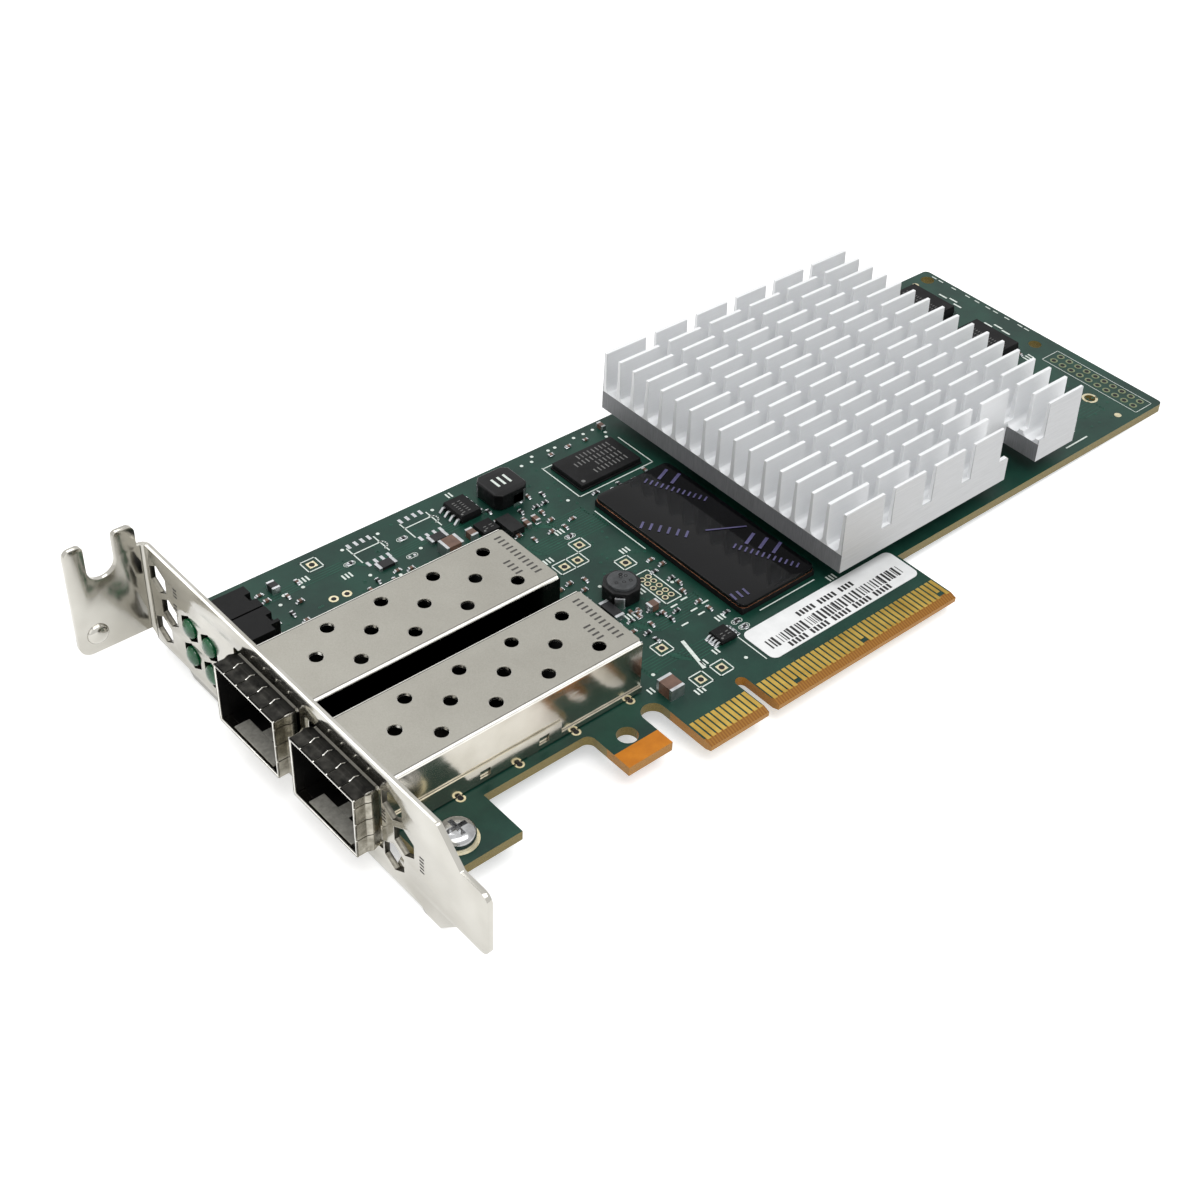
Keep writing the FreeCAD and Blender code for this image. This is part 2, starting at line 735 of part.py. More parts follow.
def heat_sink():
    """Extruded fins with rounded channel bottoms, sawn across, and notched at the front edge."""
    seat = sink_seat
    top = seat + sink_height
    channel = fin_pitch - fin_thickness
    taper = (fin_thickness - fin_tip) / 2
    floor = seat + sink_base
    back = sink_front + (fin_count - 1) * fin_pitch + fin_thickness
    section = [(sink_front, seat), (sink_front, floor), (sink_front + taper, top)]
    turns = [math.pi / 2 * step / channel_flats for step in range(channel_flats + 1)]
    for k in range(fin_count - 1):
        left = sink_front + k * fin_pitch + fin_thickness
        right = left + channel
        section.append((left - taper, top))
        for turn in turns:
            section.append((left + channel_corner * (1 - math.cos(turn)),
                            floor + channel_corner * (1 - math.sin(turn))))
        for turn in reversed(turns):
            section.append((right - channel_corner * (1 - math.cos(turn)),
                            floor + channel_corner * (1 - math.sin(turn))))
        section.append((right + taper, top))
    section += [(back - taper, top), (back, floor), (back, seat)]
    sink = prism([(sink_left, y, z) for y, z in section], (sink_length, 0, 0))

    centre = sink_left + sink_length / 2
    saw_floor = floor + 0.15
    cuts = []
    for k in range(cross_cuts):
        x = centre + (k - (cross_cuts - 1) / 2) * cross_cut_pitch
        cuts.append(block(x - cross_cut_width / 2, x + cross_cut_width / 2,
                          sink_front, back, saw_floor, top))
    notch_left = centre + (cross_cuts // 2 - 1) * cross_cut_pitch + cross_cut_width / 2
    notch_right = notch_left + cross_cut_pitch - cross_cut_width + 0.9
    depth = notch_fins * fin_pitch - channel / 2
    cuts.append(block(notch_left, notch_right, sink_front, sink_front + depth, seat, top))
    return sink.cut(group(cuts))


def controller_chip():
    """Main package under the sink: substrate with a raised lid."""
    x, y = sink_left + sink_length / 2, sink_middle_y
    substrate = centred(x, y, controller_size, controller_size, 0, 1.1)
    lid = centred(x, y, controller_size - 3, controller_size - 3, 1.1, controller_height)
    return fused([substrate, lid])


def thermal_pad():
    """Soft pad between the package and the sink."""
    x, y = sink_left + sink_length / 2, sink_middle_y
    size = min(pad_size, controller_size - 3)
    return centred(x, y, size, size, controller_height, sink_seat)


def spreader_place():
    """Middle of the film-covered package, between the label and the memory."""
    return sink_left - spreader_gap - spreader_width / 2, spreader_bottom + spreader_length / 2


def covered_package():
    """Long package under the film."""
    x, y = spreader_place()
    return centred(x, y, spreader_width - 2 * spreader_overhang,
                   spreader_length - 2 * spreader_overhang, 0, package_height)


def heat_spreader():
    """Foil heat spreader with rounded corners, faced with film."""
    x, y = spreader_place()
    a, b = spreader_width / 2, spreader_length / 2
    return soft_plate(x - a, x + a, y - b, y + b, package_height,
                      package_height + spreader_film, spreader_corner_radius)


def memory_chip():
    """Ball-grid memory package with its thin substrate."""
    x = spreader_place()[0] - memory_offset
    y = board_height - memory_drop - memory_width / 2
    lower = centred(x, y, memory_length, memory_width, 0, 0.3)
    upper = centred(x, y, memory_length - 0.3, memory_width - 0.3, 0.3, memory_height)
    return fused([lower, upper])


def label_sticker():
    """Paper label between the contacts and the film-covered package."""
    x1 = tongue_right - label_right_gap
    return soft_plate(x1 - label_length, x1, label_bottom, label_bottom + label_width,
                      0, label_thickness, label_corner_radius)


# ---------------------------------------------------------------- wound parts
def choke_corners():
    """Terminal blocks of the choke at two opposite corners."""
    y, reach = board_height - choke_top_gap, choke_size / 2
    w, d, h = choke_terminal_width, choke_terminal_depth, choke_terminal_height
    right, left = choke_x + reach - choke_chamfer, choke_x - reach + choke_chamfer
    return [block(right - w, right, y - reach, y - reach + d, 0, h),
            block(left, left + w, y + reach - d, y + reach, 0, h)]


def power_choke():
    """Square moulded choke with chamfered corners, let in at its two terminals."""
    body = centred(choke_x, board_height - choke_top_gap, choke_size, choke_size, 0, choke_height)
    upright = [edge for edge in body.Edges if edge.tangentAt(0).isParallel(Z_AXIS, 1e-6)]
    return body.makeChamfer(choke_chamfer, upright).cut(group(choke_corners()))


def drum_corners():
    """Terminal plates of the drum choke, upright on two opposite corners of its shield."""
    reach = drum_size / 2
    plates = []
    for turn in (45, 225):
        plate = block(reach, reach + drum_terminal_sheet, -drum_terminal_width / 2,
                      drum_terminal_width / 2, 0, drum_terminal_height)
        plate.rotate(V(0, 0, 0), Z_AXIS, turn)
        plate.translate(V(drum_x, drum_y, 0))
        plates.append(plate)
    return plates


def choke_terminals():
    """Metal terminals of both chokes."""
    return group(choke_corners() + drum_corners())


def drum_shield():
    """Octagonal ferrite ring of the drum choke, on its moulded base."""
    reach = drum_size / 2 / math.cos(math.pi / 8)
    angles = [math.radians(22.5 + 45 * k) for k in range(8)]
    points = [(drum_x + reach * math.cos(a), drum_y + reach * math.sin(a), 0) for a in angles]
    ring = prism(points, (0, 0, drum_height))
    return ring.cut(rod(drum_x, drum_y, drum_core_diameter + 2 * drum_core_gap,
                        drum_base, drum_height))


def drum_core():
    """Round core in the ring."""
    reach, top = drum_core_diameter / 2, drum_height + drum_core_rise
    core = faceted(((drum_base, reach), (top - 0.25, reach), (top, reach - 0.25)), 20)
    core.translate(V(drum_x, drum_y, 0))
    return core


# ---------------------------------------------------------------- leaded packages and chip parts
def package(x, y, length, width, height, lift=0.1, draft=0.12):
    """Moulded package with drafted sides, length along X."""
    waist = lift + (height - lift) / 2
    sections = []
    for z, inset in ((lift, draft), (waist, 0), (height, draft)):
        a, b = length / 2 - inset, width / 2 - inset
        corners = [V(x - a, y - b, z), V(x + a, y - b, z), V(x + a, y + b, z), V(x - a, y + b, z)]
        sections.append(Part.makePolygon(corners + corners[:1]))
    return Part.makeLoft(sections, True, True)


def gull_leads(x, y, body, height, pitch, per_side, width, reach):
    """Gull-wing leads on the two sides that face +X and -X."""
    t = lead_thickness
    waist = 0.1 + (height - 0.1) / 2
    leads = []
    for sign in (-1, 1):
        for k in range(per_side):
            yy = y + (k - (per_side - 1) / 2) * pitch - width / 2
            root = x + sign * body / 2
            steps = [(0, waist + t / 2), (reach * 0.4, waist + t / 2), (reach, t),
                     (reach, 0), (reach * 0.45, 0), (0, waist - t / 2)]
            leads.append(prism([(root + sign * dx, yy, z) for dx, z in steps], (0, width, 0)))
    return group(leads)


def chip_part(x, y, length, width, height, along_x, cap):
    """Body and two end caps of a two-terminal part."""
    a, b = (length, width) if along_x else (width, length)
    inner_a = a - 2 * cap if along_x else a
    inner_b = b if along_x else b - 2 * cap
    body = centred(x, y, inner_a, inner_b, 0, height)
    ends = []
    for sign in (-1, 1):
        shift = sign * (length - cap) / 2
        if along_x:
            ends.append(centred(x + shift, y, cap, width, 0, height))
        else:
            ends.append(centred(x, y + shift, width, cap, 0, height))
    return body, ends


SO8 = dict(x=-7.6, y=board_height - 6.4, body=3.9, length=4.9, height=1.5, pitch=1.27,
           per_side=4, width=0.42, reach=1.05)
MSOP8 = dict(x=4.4, y=15.4, body=3.0, length=3.0, height=0.95, pitch=0.65,
             per_side=4, width=0.3, reach=0.95)
FLASH = dict(x=board_right - far_inset, y=board_height - flash_drop, body=7.5, length=10.3,
             height=2.3, pitch=1.27, per_side=8, width=0.42, reach=1.4)
CLOCK = dict(FLASH, y=board_height - clock_drop)


def leaded(spec):
    """Package body and its leads."""
    body = package(spec["x"], spec["y"], spec["body"], spec["length"], spec["height"])
    leads = gull_leads(spec["x"], spec["y"], spec["body"], spec["height"], spec["pitch"],
                       spec["per_side"], spec["width"], spec["reach"])
    return body, leads


# Sizes of the two-terminal parts: length, width, height, end cap
SIZE_1210 = (3.2, 2.5, 2.0, 0.5)
SIZE_1206 = (3.2, 1.6, 0.55, 0.5)
SIZE_0805 = (2.0, 1.25, 1.2, 0.4)
SIZE_DIODE = (4.2, 1.6, 0.9, 0.5)
SIZE_0603 = (1.6, 0.8, 0.8, 0.35)
SIZE_0402 = (1.0, 0.5, 0.35, 0.25)



def down(drop):
    """Height on the board, a distance below its top edge."""
    return board_height - drop


# Places of the two-terminal parts: x, y, length along X?, size. Those beside the tongue keep to
# it, and the others keep to the board's top edge.
BULK_CAPACITORS = (
    (-14.7, down(13.0), True, SIZE_1210), (-9.5, 11.5, False, SIZE_1210),
    (0.6, down(42.3), True, SIZE_0805),
)
SMALL_CAPACITORS = (
    (-10.2, down(12.2), False, SIZE_0805), (-1.7, down(15.2), False, SIZE_0603),
    (0.1, down(15.1), False, SIZE_0603), (-2.6, down(41.0), False, SIZE_0402),
    (-1.4, down(41.4), False, SIZE_0402), (-2.4, down(42.6), True, SIZE_0402),
    (24.6, down(2.0), False, SIZE_0603), (13.0, down(3.0), True, SIZE_0402),
    (16.8, down(2.9), True, SIZE_0402), (20.2, down(3.2), True, SIZE_0402),
)
RESISTORS = (
    (-40.7, down(4.4), False, SIZE_0805), (-24.4, down(9.7), True, SIZE_1206),
    (-14.5, down(9.3), True, SIZE_1206), (-4.9, down(39.2), False, SIZE_DIODE),
    (1.9, down(21.4), True, SIZE_0402), (8.5, 16.6, False, SIZE_0402),
    (8.6, 15.0, False, SIZE_0402), (0.4, down(43.9), True, SIZE_0402),
    (-28.4, down(6.2), True, SIZE_0402), (-18.7, down(6.1), True, SIZE_0402),
)
UNDERSIDE_CAPACITORS = [(i, j) for i in range(4) for j in range(3)]
underside_pitch = 6.0
underside_length = 1.6
underside_width = 0.8


def chips(places):
    """Bodies and end caps of a set of two-terminal parts."""
    bodies, ends = [], []
    for x, y, along_x, (length, width, height, cap) in places:
        body, caps = chip_part(x, y, length, width, height, along_x, cap)
        bodies.append(body)
        ends += caps
    return group(bodies), group(ends)


def underside_parts():
    """Decoupling capacitors under the main package."""
    x, y = sink_left + sink_length / 2, sink_middle_y
    parts = []
    for i, j in UNDERSIDE_CAPACITORS:
        parts.append(centred(x + (i - 1.5) * underside_pitch, y + (j - 1) * underside_pitch,
                             underside_length, underside_width,
                             -board_thickness - underside_width, -board_thickness))
    return group(parts)


# ---------------------------------------------------------------- all nodes
def build():
    """Every node of the card by name."""
    nodes = {
        "circuit_board": circuit_board(),
        "contacts_component_side": edge_contacts(0, contact_plating, short_contacts),
        "contacts_solder_side": edge_contacts(-board_thickness - contact_plating,
                                              -board_thickness, (1,)),
        "bracket": bracket(),
        "bracket_screw": bracket_screw(),
        "led_housing": led_housing(),
        "heat_sink": heat_sink(),
        "controller_chip": controller_chip(),
        "thermal_pad": thermal_pad(),
        "covered_package": covered_package(),
        "heat_spreader": heat_spreader(),
        "memory_chip": memory_chip(),
        "label_sticker": label_sticker(),
        "power_choke": power_choke(),
        "choke_terminals": choke_terminals(),
        "drum_shield": drum_shield(),
        "drum_core": drum_core(),
        "regulator_chip": package(regulator_x, board_height - regulator_drop, regulator_size,
                                  regulator_size, regulator_height, 0, 0.02),
        "filter_choke": centred(regulator_x + filter_offset, board_height - filter_drop,
                                filter_width, filter_length, 0, filter_height),
        "underside_capacitors": underside_parts(),
    }
    for number, side in enumerate(cage_sides, start=1):
        nodes["cage_cover_%d" % number] = cage_cover(side)
        nodes["cage_base_%d" % number] = cage_base(side)
        nodes["emi_collar_%d" % number] = emi_collar(side)
        nodes["host_connector_%d" % number] = host_connector(side)
        nodes["host_contacts_%d" % number] = host_contacts(side)
    for number, place in enumerate(lens_places(), start=1):
        nodes["led_lens_%d" % number] = led_lens(place)
    for name, spec in (("gate_driver", SO8), ("bus_switch", MSOP8),
                       ("flash_memory", FLASH), ("clock_buffer", CLOCK)):
        nodes[name], nodes[name + "_leads"] = leaded(spec)
    for name, places in (("bulk_capacitor", BULK_CAPACITORS), ("small_capacitor", SMALL_CAPACITORS),
                         ("resistor", RESISTORS)):
        nodes[name + "s"], nodes[name + "_ends"] = chips(places)
    return nodes


os.makedirs("parts", exist_ok=True)
for node, solid in build().items():
    valid = solid.isValid() and len(solid.Solids) > 0
    print(node, len(solid.Solids), "solids", round(solid.Volume, 2), "mm3", "" if valid else "INVALID")
    solid.exportStep("parts/%s.step" % node)
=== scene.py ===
# %% [markdown]
# # A network card, dressed for its picture
# The card already exists as exact solids: board, folded bracket, two transceiver cages and a sawn
# heat sink. This lesson loads those solids as a fixed frame and gives each one the finish that the
# real piece has. Where a solid is plainer than the real piece, a finer mesh takes its place.

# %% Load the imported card
import math
import random

import bmesh
import bpy
from mathutils import Matrix, Vector


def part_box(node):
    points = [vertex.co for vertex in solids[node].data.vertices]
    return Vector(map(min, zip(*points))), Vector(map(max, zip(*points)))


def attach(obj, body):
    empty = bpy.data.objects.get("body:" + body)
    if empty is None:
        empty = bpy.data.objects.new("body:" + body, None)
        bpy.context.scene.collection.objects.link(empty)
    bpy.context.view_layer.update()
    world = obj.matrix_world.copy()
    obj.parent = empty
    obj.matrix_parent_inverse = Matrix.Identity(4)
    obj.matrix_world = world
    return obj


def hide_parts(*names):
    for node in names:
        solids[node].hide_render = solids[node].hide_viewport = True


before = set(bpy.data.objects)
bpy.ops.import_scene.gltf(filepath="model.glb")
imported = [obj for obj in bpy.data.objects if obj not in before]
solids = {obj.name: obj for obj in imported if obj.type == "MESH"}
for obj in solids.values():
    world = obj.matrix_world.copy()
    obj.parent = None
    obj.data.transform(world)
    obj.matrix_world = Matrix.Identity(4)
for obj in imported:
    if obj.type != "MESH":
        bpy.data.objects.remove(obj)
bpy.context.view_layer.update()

mm = 0.001


def box_of(name):
    """Low and high corner of a solid, in millimetres."""
    return [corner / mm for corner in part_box(name)]


# %% [markdown]
# ## Where the eye stands
# The card is seen from the bracket's end and from above. A long lens keeps its edges nearly
# parallel. The lens is also shifted a little, which moves the card in the frame without turning the
# camera.

# %% Camera
def stand_camera():
    lens = bpy.data.cameras.new("camera")
    lens.lens = 56.1009
    lens.sensor_width = 36
    lens.shift_x = -0.09721
    lens.shift_y = -0.04213
    lens.clip_start = 0.01
    lens.clip_end = 20
    camera = bpy.data.objects.new("camera", lens)
    camera.location = (-0.146524, -0.125999, 0.181911)
    camera.rotation_euler = [math.radians(a) for a in (51.2113, -4.0330, -43.0675)]
    bpy.context.scene.collection.objects.link(camera)
    bpy.context.scene.camera = camera
    return camera


camera = stand_camera()
print("camera at", [round(v, 3) for v in camera.location])

# %% [markdown]
# ## Small tools for materials
# A finish is a shader and the patterns that feed it. Typing out every node is long, so one helper
# adds a node and joins its inputs, and another starts a material whose steady values sit on the
# shader itself. Colours are written as eye colours from 0 to 255 and turned into light values.

# %% Helpers for materials
def light(red, green, blue):
    """Eye colour (0 to 255) as the light values that the shader wants."""
    parts = [value / 255 for value in (red, green, blue)]
    return (*(v / 12.92 if v <= 0.04045 else ((v + 0.055) / 1.055) ** 2.4 for v in parts), 1.0)


def add(tree, kind, inputs=None, **settings):
    """Add one node. An input is either a value or the output of another node."""
    made = tree.nodes.new("ShaderNode" + kind)
    for key, value in settings.items():
        setattr(made, key, value)
    for key, value in (inputs or {}).items():
        if isinstance(value, bpy.types.NodeSocket):
            tree.links.new(value, made.inputs[key])
        else:
            made.inputs[key].default_value = value
    return made


def finish(name, **steady):
    """Start a material. Steady values go straight onto the shader."""
    material = bpy.data.materials.new(name)
    material.use_nodes = True
    tree = material.node_tree
    shader = tree.nodes["Principled BSDF"]
    for key, value in steady.items():
        shader.inputs[key.replace("_", " ")].default_value = value
    return material, tree, shader


def maths(tree, operation, first, second=0.0):
    """One step of arithmetic on a number that changes over the surface."""
    return add(tree, "Math", {0: first, 1: second}, operation=operation).outputs[0]


def millimetres(tree, stretch=(1, 1, 1)):
    """The place on the card in millimetres, stretched along each axis when asked."""
    place = add(tree, "TexCoord").outputs["Object"]
    scale = [1000 * s for s in stretch]
    return add(tree, "Mapping", {"Vector": place, "Scale": scale}).outputs["Vector"]


def cloud(tree, place, size, detail=3.0, roughness=0.55):
    """Soft random variation, size in millimetres."""
    return add(tree, "TexNoise", {"Vector": place, "Scale": 1 / size, "Detail": detail,
                                  "Roughness": roughness}).outputs["Fac"]


def between(tree, amount, low, high):
    """Turn a 0 to 1 pattern into a range of values."""
    return add(tree, "MapRange", {"Value": amount, "To Min": low, "To Max": high}).outputs[0]


def ramp(tree, amount, dark, bright, low=0.3, high=0.7):
    """Two eye colours along a 0 to 1 pattern, each steady beyond its own place."""
    made = add(tree, "ValToRGB", {"Fac": amount})
    for element, place, colour in zip(made.color_ramp.elements, (low, high), (dark, bright)):
        element.position, element.color = place, light(*colour)
    return made.outputs["Color"]


def mixed(tree, amount, first, second):
    """Blend two colours by a 0 to 1 amount."""
    made = add(tree, "Mix", data_type="RGBA")
    sockets = {(socket.name, socket.type): socket for socket in reversed(made.inputs)}
    for key, value in ((("Factor", "VALUE"), amount), (("A", "RGBA"), first), (("B", "RGBA"), second)):
        socket = sockets[key]
        if isinstance(value, bpy.types.NodeSocket):
            tree.links.new(value, socket)
        else:
            socket.default_value = value
    return [s for s in made.outputs if s.type == "RGBA"][0]


def bumped(tree, shader, height, depth):
    """Give the surface a relief: depth in millimetres for a 0 to 1 pattern."""
    relief = add(tree, "Bump", {"Height": height, "Distance": depth * mm, "Strength": 1.0})
    tree.links.new(relief.outputs["Normal"], shader.inputs["Normal"])


def coated(tree, shader, colour, marks, roughness, relief):
    """Join a colour to the shader, and let fine marks change its gloss and its relief."""
    tree.links.new(colour, shader.inputs["Base Color"])
    tree.links.new(between(tree, marks, *roughness), shader.inputs["Roughness"])
    bumped(tree, shader, marks, relief)


print("material helpers ready")

# %% [markdown]
# ## Floor, backdrop and light
# The card lies on a white sheet. It touches that sheet with the bracket's lower edge and with the
# far end of the board, so it leans by about a degree: the floor is laid through those two lines
# instead of leaning the card. The lamps are large and soft and stay at a plain level. The white
# around the card comes from the floor's own colour and from what camera and mirror rays see, and
# not from more light on the card.

# %% Floor and backdrop
def lay_floor():
    """Sheet through the bracket's lowest edge and the low edge of the board's far end."""
    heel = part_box("bracket")[0]
    board_low, board_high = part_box("circuit_board")
    lean = (board_low.z - heel.z) / (board_high.x - heel.x)
    middle, reach, gap = (0.02, 0.03), 3.0, 0.02 * mm
    corners = []
    for x, y in ((-1, -1), (1, -1), (1, 1), (-1, 1)):
        far = middle[0] + x * reach
        corners.append((far, middle[1] + y * reach, heel.z + (far - heel.x) * lean - gap))
    shape = bpy.data.meshes.new("floor")
    shape.from_pydata(corners, [], [(0, 1, 2, 3)])
    shape.materials.append(floor_finish())
    floor = bpy.data.objects.new("floor", shape)
    bpy.context.scene.collection.objects.link(floor)
    return floor


def floor_finish():
    """Matt white that looks brighter to the camera and in mirrors than it lights the card."""
    material, tree, shader = finish("floor_white", Roughness=0.9, Specular_IOR_Level=0.1,
                                    Base_Color=(0.80, 0.80, 0.80, 1))
    path = add(tree, "LightPath")
    seen = maths(tree, "MAXIMUM", path.outputs["Is Camera Ray"], path.outputs["Is Glossy Ray"])
    seen = maths(tree, "MAXIMUM", seen, path.outputs["Is Transmission Ray"])
    glow = add(tree, "Emission", {"Color": (1, 1, 1, 1), "Strength": 0.5})
    lift = add(tree, "AddShader", {0: shader.outputs[0], 1: glow.outputs[0]})
    pick = add(tree, "MixShader", {0: seen, 1: shader.outputs[0], 2: lift.outputs[0]})
    tree.links.new(pick.outputs[0], tree.nodes["Material Output"].inputs["Surface"])
    return material


floor = lay_floor()
print("floor corners", [round(vert.co.z, 3) for vert in floor.data.vertices])

# %% Lamps and world
def lamp(name, place, aim, size, power):
    """Soft rectangular lamp that points at a place on the card."""
    data = bpy.data.lights.new(name, "AREA")
    data.shape = "RECTANGLE"
    data.size, data.size_y = size
    data.energy = power
    made = bpy.data.objects.new(name, data)
    made.location = place
    made.rotation_euler = (Vector(aim) - Vector(place)).to_track_quat("-Z", "Y").to_euler()
    bpy.context.scene.collection.objects.link(made)
    return made


def sky():
    """Plain white room, brighter to the eye and in mirrors than it lights the card."""
    world = bpy.data.worlds.new("studio")
    world.use_nodes = True
    tree = world.node_tree
    back = tree.nodes["Background"]
    path = add(tree, "LightPath")
    seen = maths(tree, "MAXIMUM", path.outputs["Is Camera Ray"], path.outputs["Is Transmission Ray"])
    seen = maths(tree, "MAXIMUM", seen, path.outputs["Is Glossy Ray"])
    tree.links.new(between(tree, seen, 0.55, 1.0), back.inputs["Strength"])
    back.inputs["Color"].default_value = (1, 1, 1, 1)
    bpy.context.scene.world = world


sky()
lamp("overhead", (0.0, -0.24, 0.74), (0.03, 0.03, 0), (0.8, 0.5), 3.7)
lamp("from_behind", (0.0, 0.5, 0.6), (0.03, 0.03, 0), (0.35, 0.3), 1.0)
lamp("from_the_left", (-0.65, -0.1, 0.35), (0, 0.03, 0), (0.5, 0.5), 0.35)
bpy.context.scene.view_settings.view_transform = "Standard"

# %% [markdown]
# ## Small tools for pieces
# Every finer piece is a mesh made in millimetres and shrunk to metres at the end. One helper takes
# the finished mesh, gives it its finishes and lets it ride with the card. The others add the few
# shapes that a card is made of: blocks with eased edges, sheets cut to an outline, and strokes of
# printing that lie on the board.

# %% Helpers for pieces
def made_piece(name, work, finishes, stands_for=(), smooth=40):
    """Finish a mesh that was made in millimetres, let it ride with the card, and print its count of
    faces.
    """
    bmesh.ops.scale(work, vec=(mm, mm, mm), verts=work.verts)
    shape = bpy.data.meshes.new(name)
    work.to_mesh(shape)
    work.free()
    for material in finishes:
        shape.materials.append(material)
    shape.shade_smooth()
    shape.set_sharp_from_angle(angle=math.radians(smooth))
    piece = bpy.data.objects.new(name, shape)
    bpy.context.scene.collection.objects.link(piece)
    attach(piece, "root")
    if stands_for:
        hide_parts(*stands_for)
    print(name, "faces:", len(shape.polygons))
    return piece


print("pieces are made in millimetres")

# %% Solid shapes
def joined(work, one, two, number=0):
    """Band of faces between two loops with the same count of points."""
    count = len(one)
    pairs = [(k, (k + 1) % count) for k in range(count)]
    faces = [work.faces.new((one[k], one[n], two[n], two[k])) for k, n in pairs]
    for face in faces:
        face.material_index = number
    return faces


def patch(work, corners, z, number=0):
    """One flat face that lies at a height above the board."""
    work.faces.new([work.verts.new((a, b, z)) for a, b in corners]).material_index = number


def eased_block(work, low, high, ease=0.0, number=0, steps=1):
    """Block between two corners, its edges eased."""
    corners = [work.verts.new((x, y, z)) for x in (low[0], high[0]) for y in (low[1], high[1])
               for z in (low[2], high[2])]
    sides = [(0, 1, 3, 2), (4, 6, 7, 5), (0, 4, 5, 1), (2, 3, 7, 6), (0, 2, 6, 4), (1, 5, 7, 3)]
    faces = [work.faces.new([corners[k] for k in side]) for side in sides]
    for face in faces:
        face.material_index = number
    if ease:
        edges = list({edge for face in faces for edge in face.edges})
        bmesh.ops.bevel(work, geom=edges, offset=ease, segments=steps, profile=0.5,
                        affect="EDGES", material=number)


def cut_sheet(work, outlines, thickness, ease, place, number=0, steps=1):
    """Sheet cut to an outline with openings, its edges eased, set down by a matrix."""
    curve = bpy.data.curves.new("cutting", "CURVE")
    curve.dimensions = "2D"
    curve.fill_mode = "BOTH"
    curve.extrude = thickness / 2 - ease
    curve.bevel_depth = ease
    curve.bevel_resolution = steps
    curve.offset = -ease
    for points in outlines:
        line = curve.splines.new("POLY")
        line.points.add(len(points) - 1)
        for point, (a, b) in zip(line.points, points):
            point.co = (a, b, 0, 1)
        line.use_cyclic_u = True
    holder = bpy.data.objects.new("cutting", curve)
    shape = bpy.data.meshes.new_from_object(holder)
    shape.transform(place)
    older = set(work.verts)
    work.from_mesh(shape)
    points = [vert for vert in work.verts if vert not in older]
    for face in {face for vert in points for face in vert.link_faces}:
        face.material_index = number
    bmesh.ops.remove_doubles(work, verts=points, dist=0.0005)
    bpy.data.objects.remove(holder)
    bpy.data.curves.remove(curve)
    bpy.data.meshes.remove(shape)


def swept(work, section, along, number=0):
    """Solid from a closed section swept along a vector."""
    low = [work.verts.new(point) for point in section]
    high = [work.verts.new(Vector(point) + Vector(along)) for point in section]
    faces = [work.faces.new(low), work.faces.new(high[::-1])]
    for face in faces:
        face.material_index = number
    bmesh.ops.recalc_face_normals(work, faces=faces + joined(work, low, high, number))


def circle(x, y, radius, sides, start=0):
    """Points round a circle, the first one at an angle in degrees."""
    turns = [math.radians(start + 360 * k / sides) for k in range(sides)]
    return [(x + radius * math.cos(turn), y + radius * math.sin(turn)) for turn in turns]


def turned(work, rings, middle, sides=32, axis="Z", number=0):
    """Turned shape from rings of height and radius about an upright or a level axis."""
    def standing(a, b, height):
        return Vector({"Z": (a, b, height), "X": (-height, a, b), "Y": (a, -height, b)}[axis])

    loops = [[work.verts.new(standing(a, b, height) + Vector(middle))
              for a, b in circle(0, 0, radius, sides)] for height, radius in rings]
    faces = [work.faces.new(loops[0][::-1]), work.faces.new(loops[-1])]
    for face in faces:
        face.material_index = number
    for lower, upper in zip(loops[:-1], loops[1:]):
        faces += joined(work, lower, upper, number)
    bmesh.ops.recalc_face_normals(work, faces=faces)


print("solid shapes ready")

# %% Flat shapes that lie on a face
def washer(work, x, y, inner, outer, z, sides=20, number=0):
    """Flat ring on the board, or a disc when the inner radius is 0."""
    if inner <= 0:
        patch(work, circle(x, y, outer, sides), z, number)
        return
    rim, core = [[work.verts.new((a, b, z)) for a, b in circle(x, y, radius, sides)]
                 for radius in (outer, inner)]
    joined(work, rim, core, number)


def stroke(work, points, width, z, closed=False, number=0):
    """Printed or etched line on the board: one flat strip for each run."""
    runs = list(zip(points[:-1], points[1:])) + ([(points[-1], points[0])] if closed else [])
    for (x0, y0), (x1, y1) in runs:
        length = math.hypot(x1 - x0, y1 - y0)
        ax, ay = (x1 - x0) / length * width / 2, (y1 - y0) / length * width / 2
        patch(work, [(x0 - ax - ay, y0 - ay + ax), (x0 - ax + ay, y0 - ay - ax),
                     (x1 + ax + ay, y1 + ay - ax), (x1 + ax - ay, y1 + ay + ax)], z, number)


def bars(work, first, step, count, tall, wide, z, number=0):
    """Row of plain bars where the real part has a word. Each runs along the vector tall."""
    for k in range(count):
        x, y = first[0] + k * step[0], first[1] + k * step[1]
        stroke(work, [(x, y), (x + tall[0], y + tall[1])], wide, z, False, number)


print("flat shapes ready")

# %% Outlines and places
def rectangle(x0, x1, y0, y1):
    """Corners of a rectangle, for a stroke or a cut."""
    return [(x0, y0), (x1, y0), (x1, y1), (x0, y1)]


def soft_rectangle(x0, x1, y0, y1, radius, steps=6):
    """Rectangle with rounded corners."""
    points = []
    for cx, cy, start in ((x1 - radius, y1 - radius, 0), (x0 + radius, y1 - radius, 90),
                          (x0 + radius, y0 + radius, 180), (x1 - radius, y0 + radius, 270)):
        for step in range(steps + 1):
            turn = math.radians(start + 90 * step / steps)
            points.append((cx + radius * math.cos(turn), cy + radius * math.sin(turn)))
    return points


UPRIGHT = Matrix(((0, 0, 1, 0), (1, 0, 0, 0), (0, 1, 0, 0), (0, 0, 0, 1)))   # a -> y, b -> z
ALONG = Matrix(((1, 0, 0, 0), (0, 0, 1, 0), (0, 1, 0, 0), (0, 0, 0, 1)))     # a -> x, b -> z


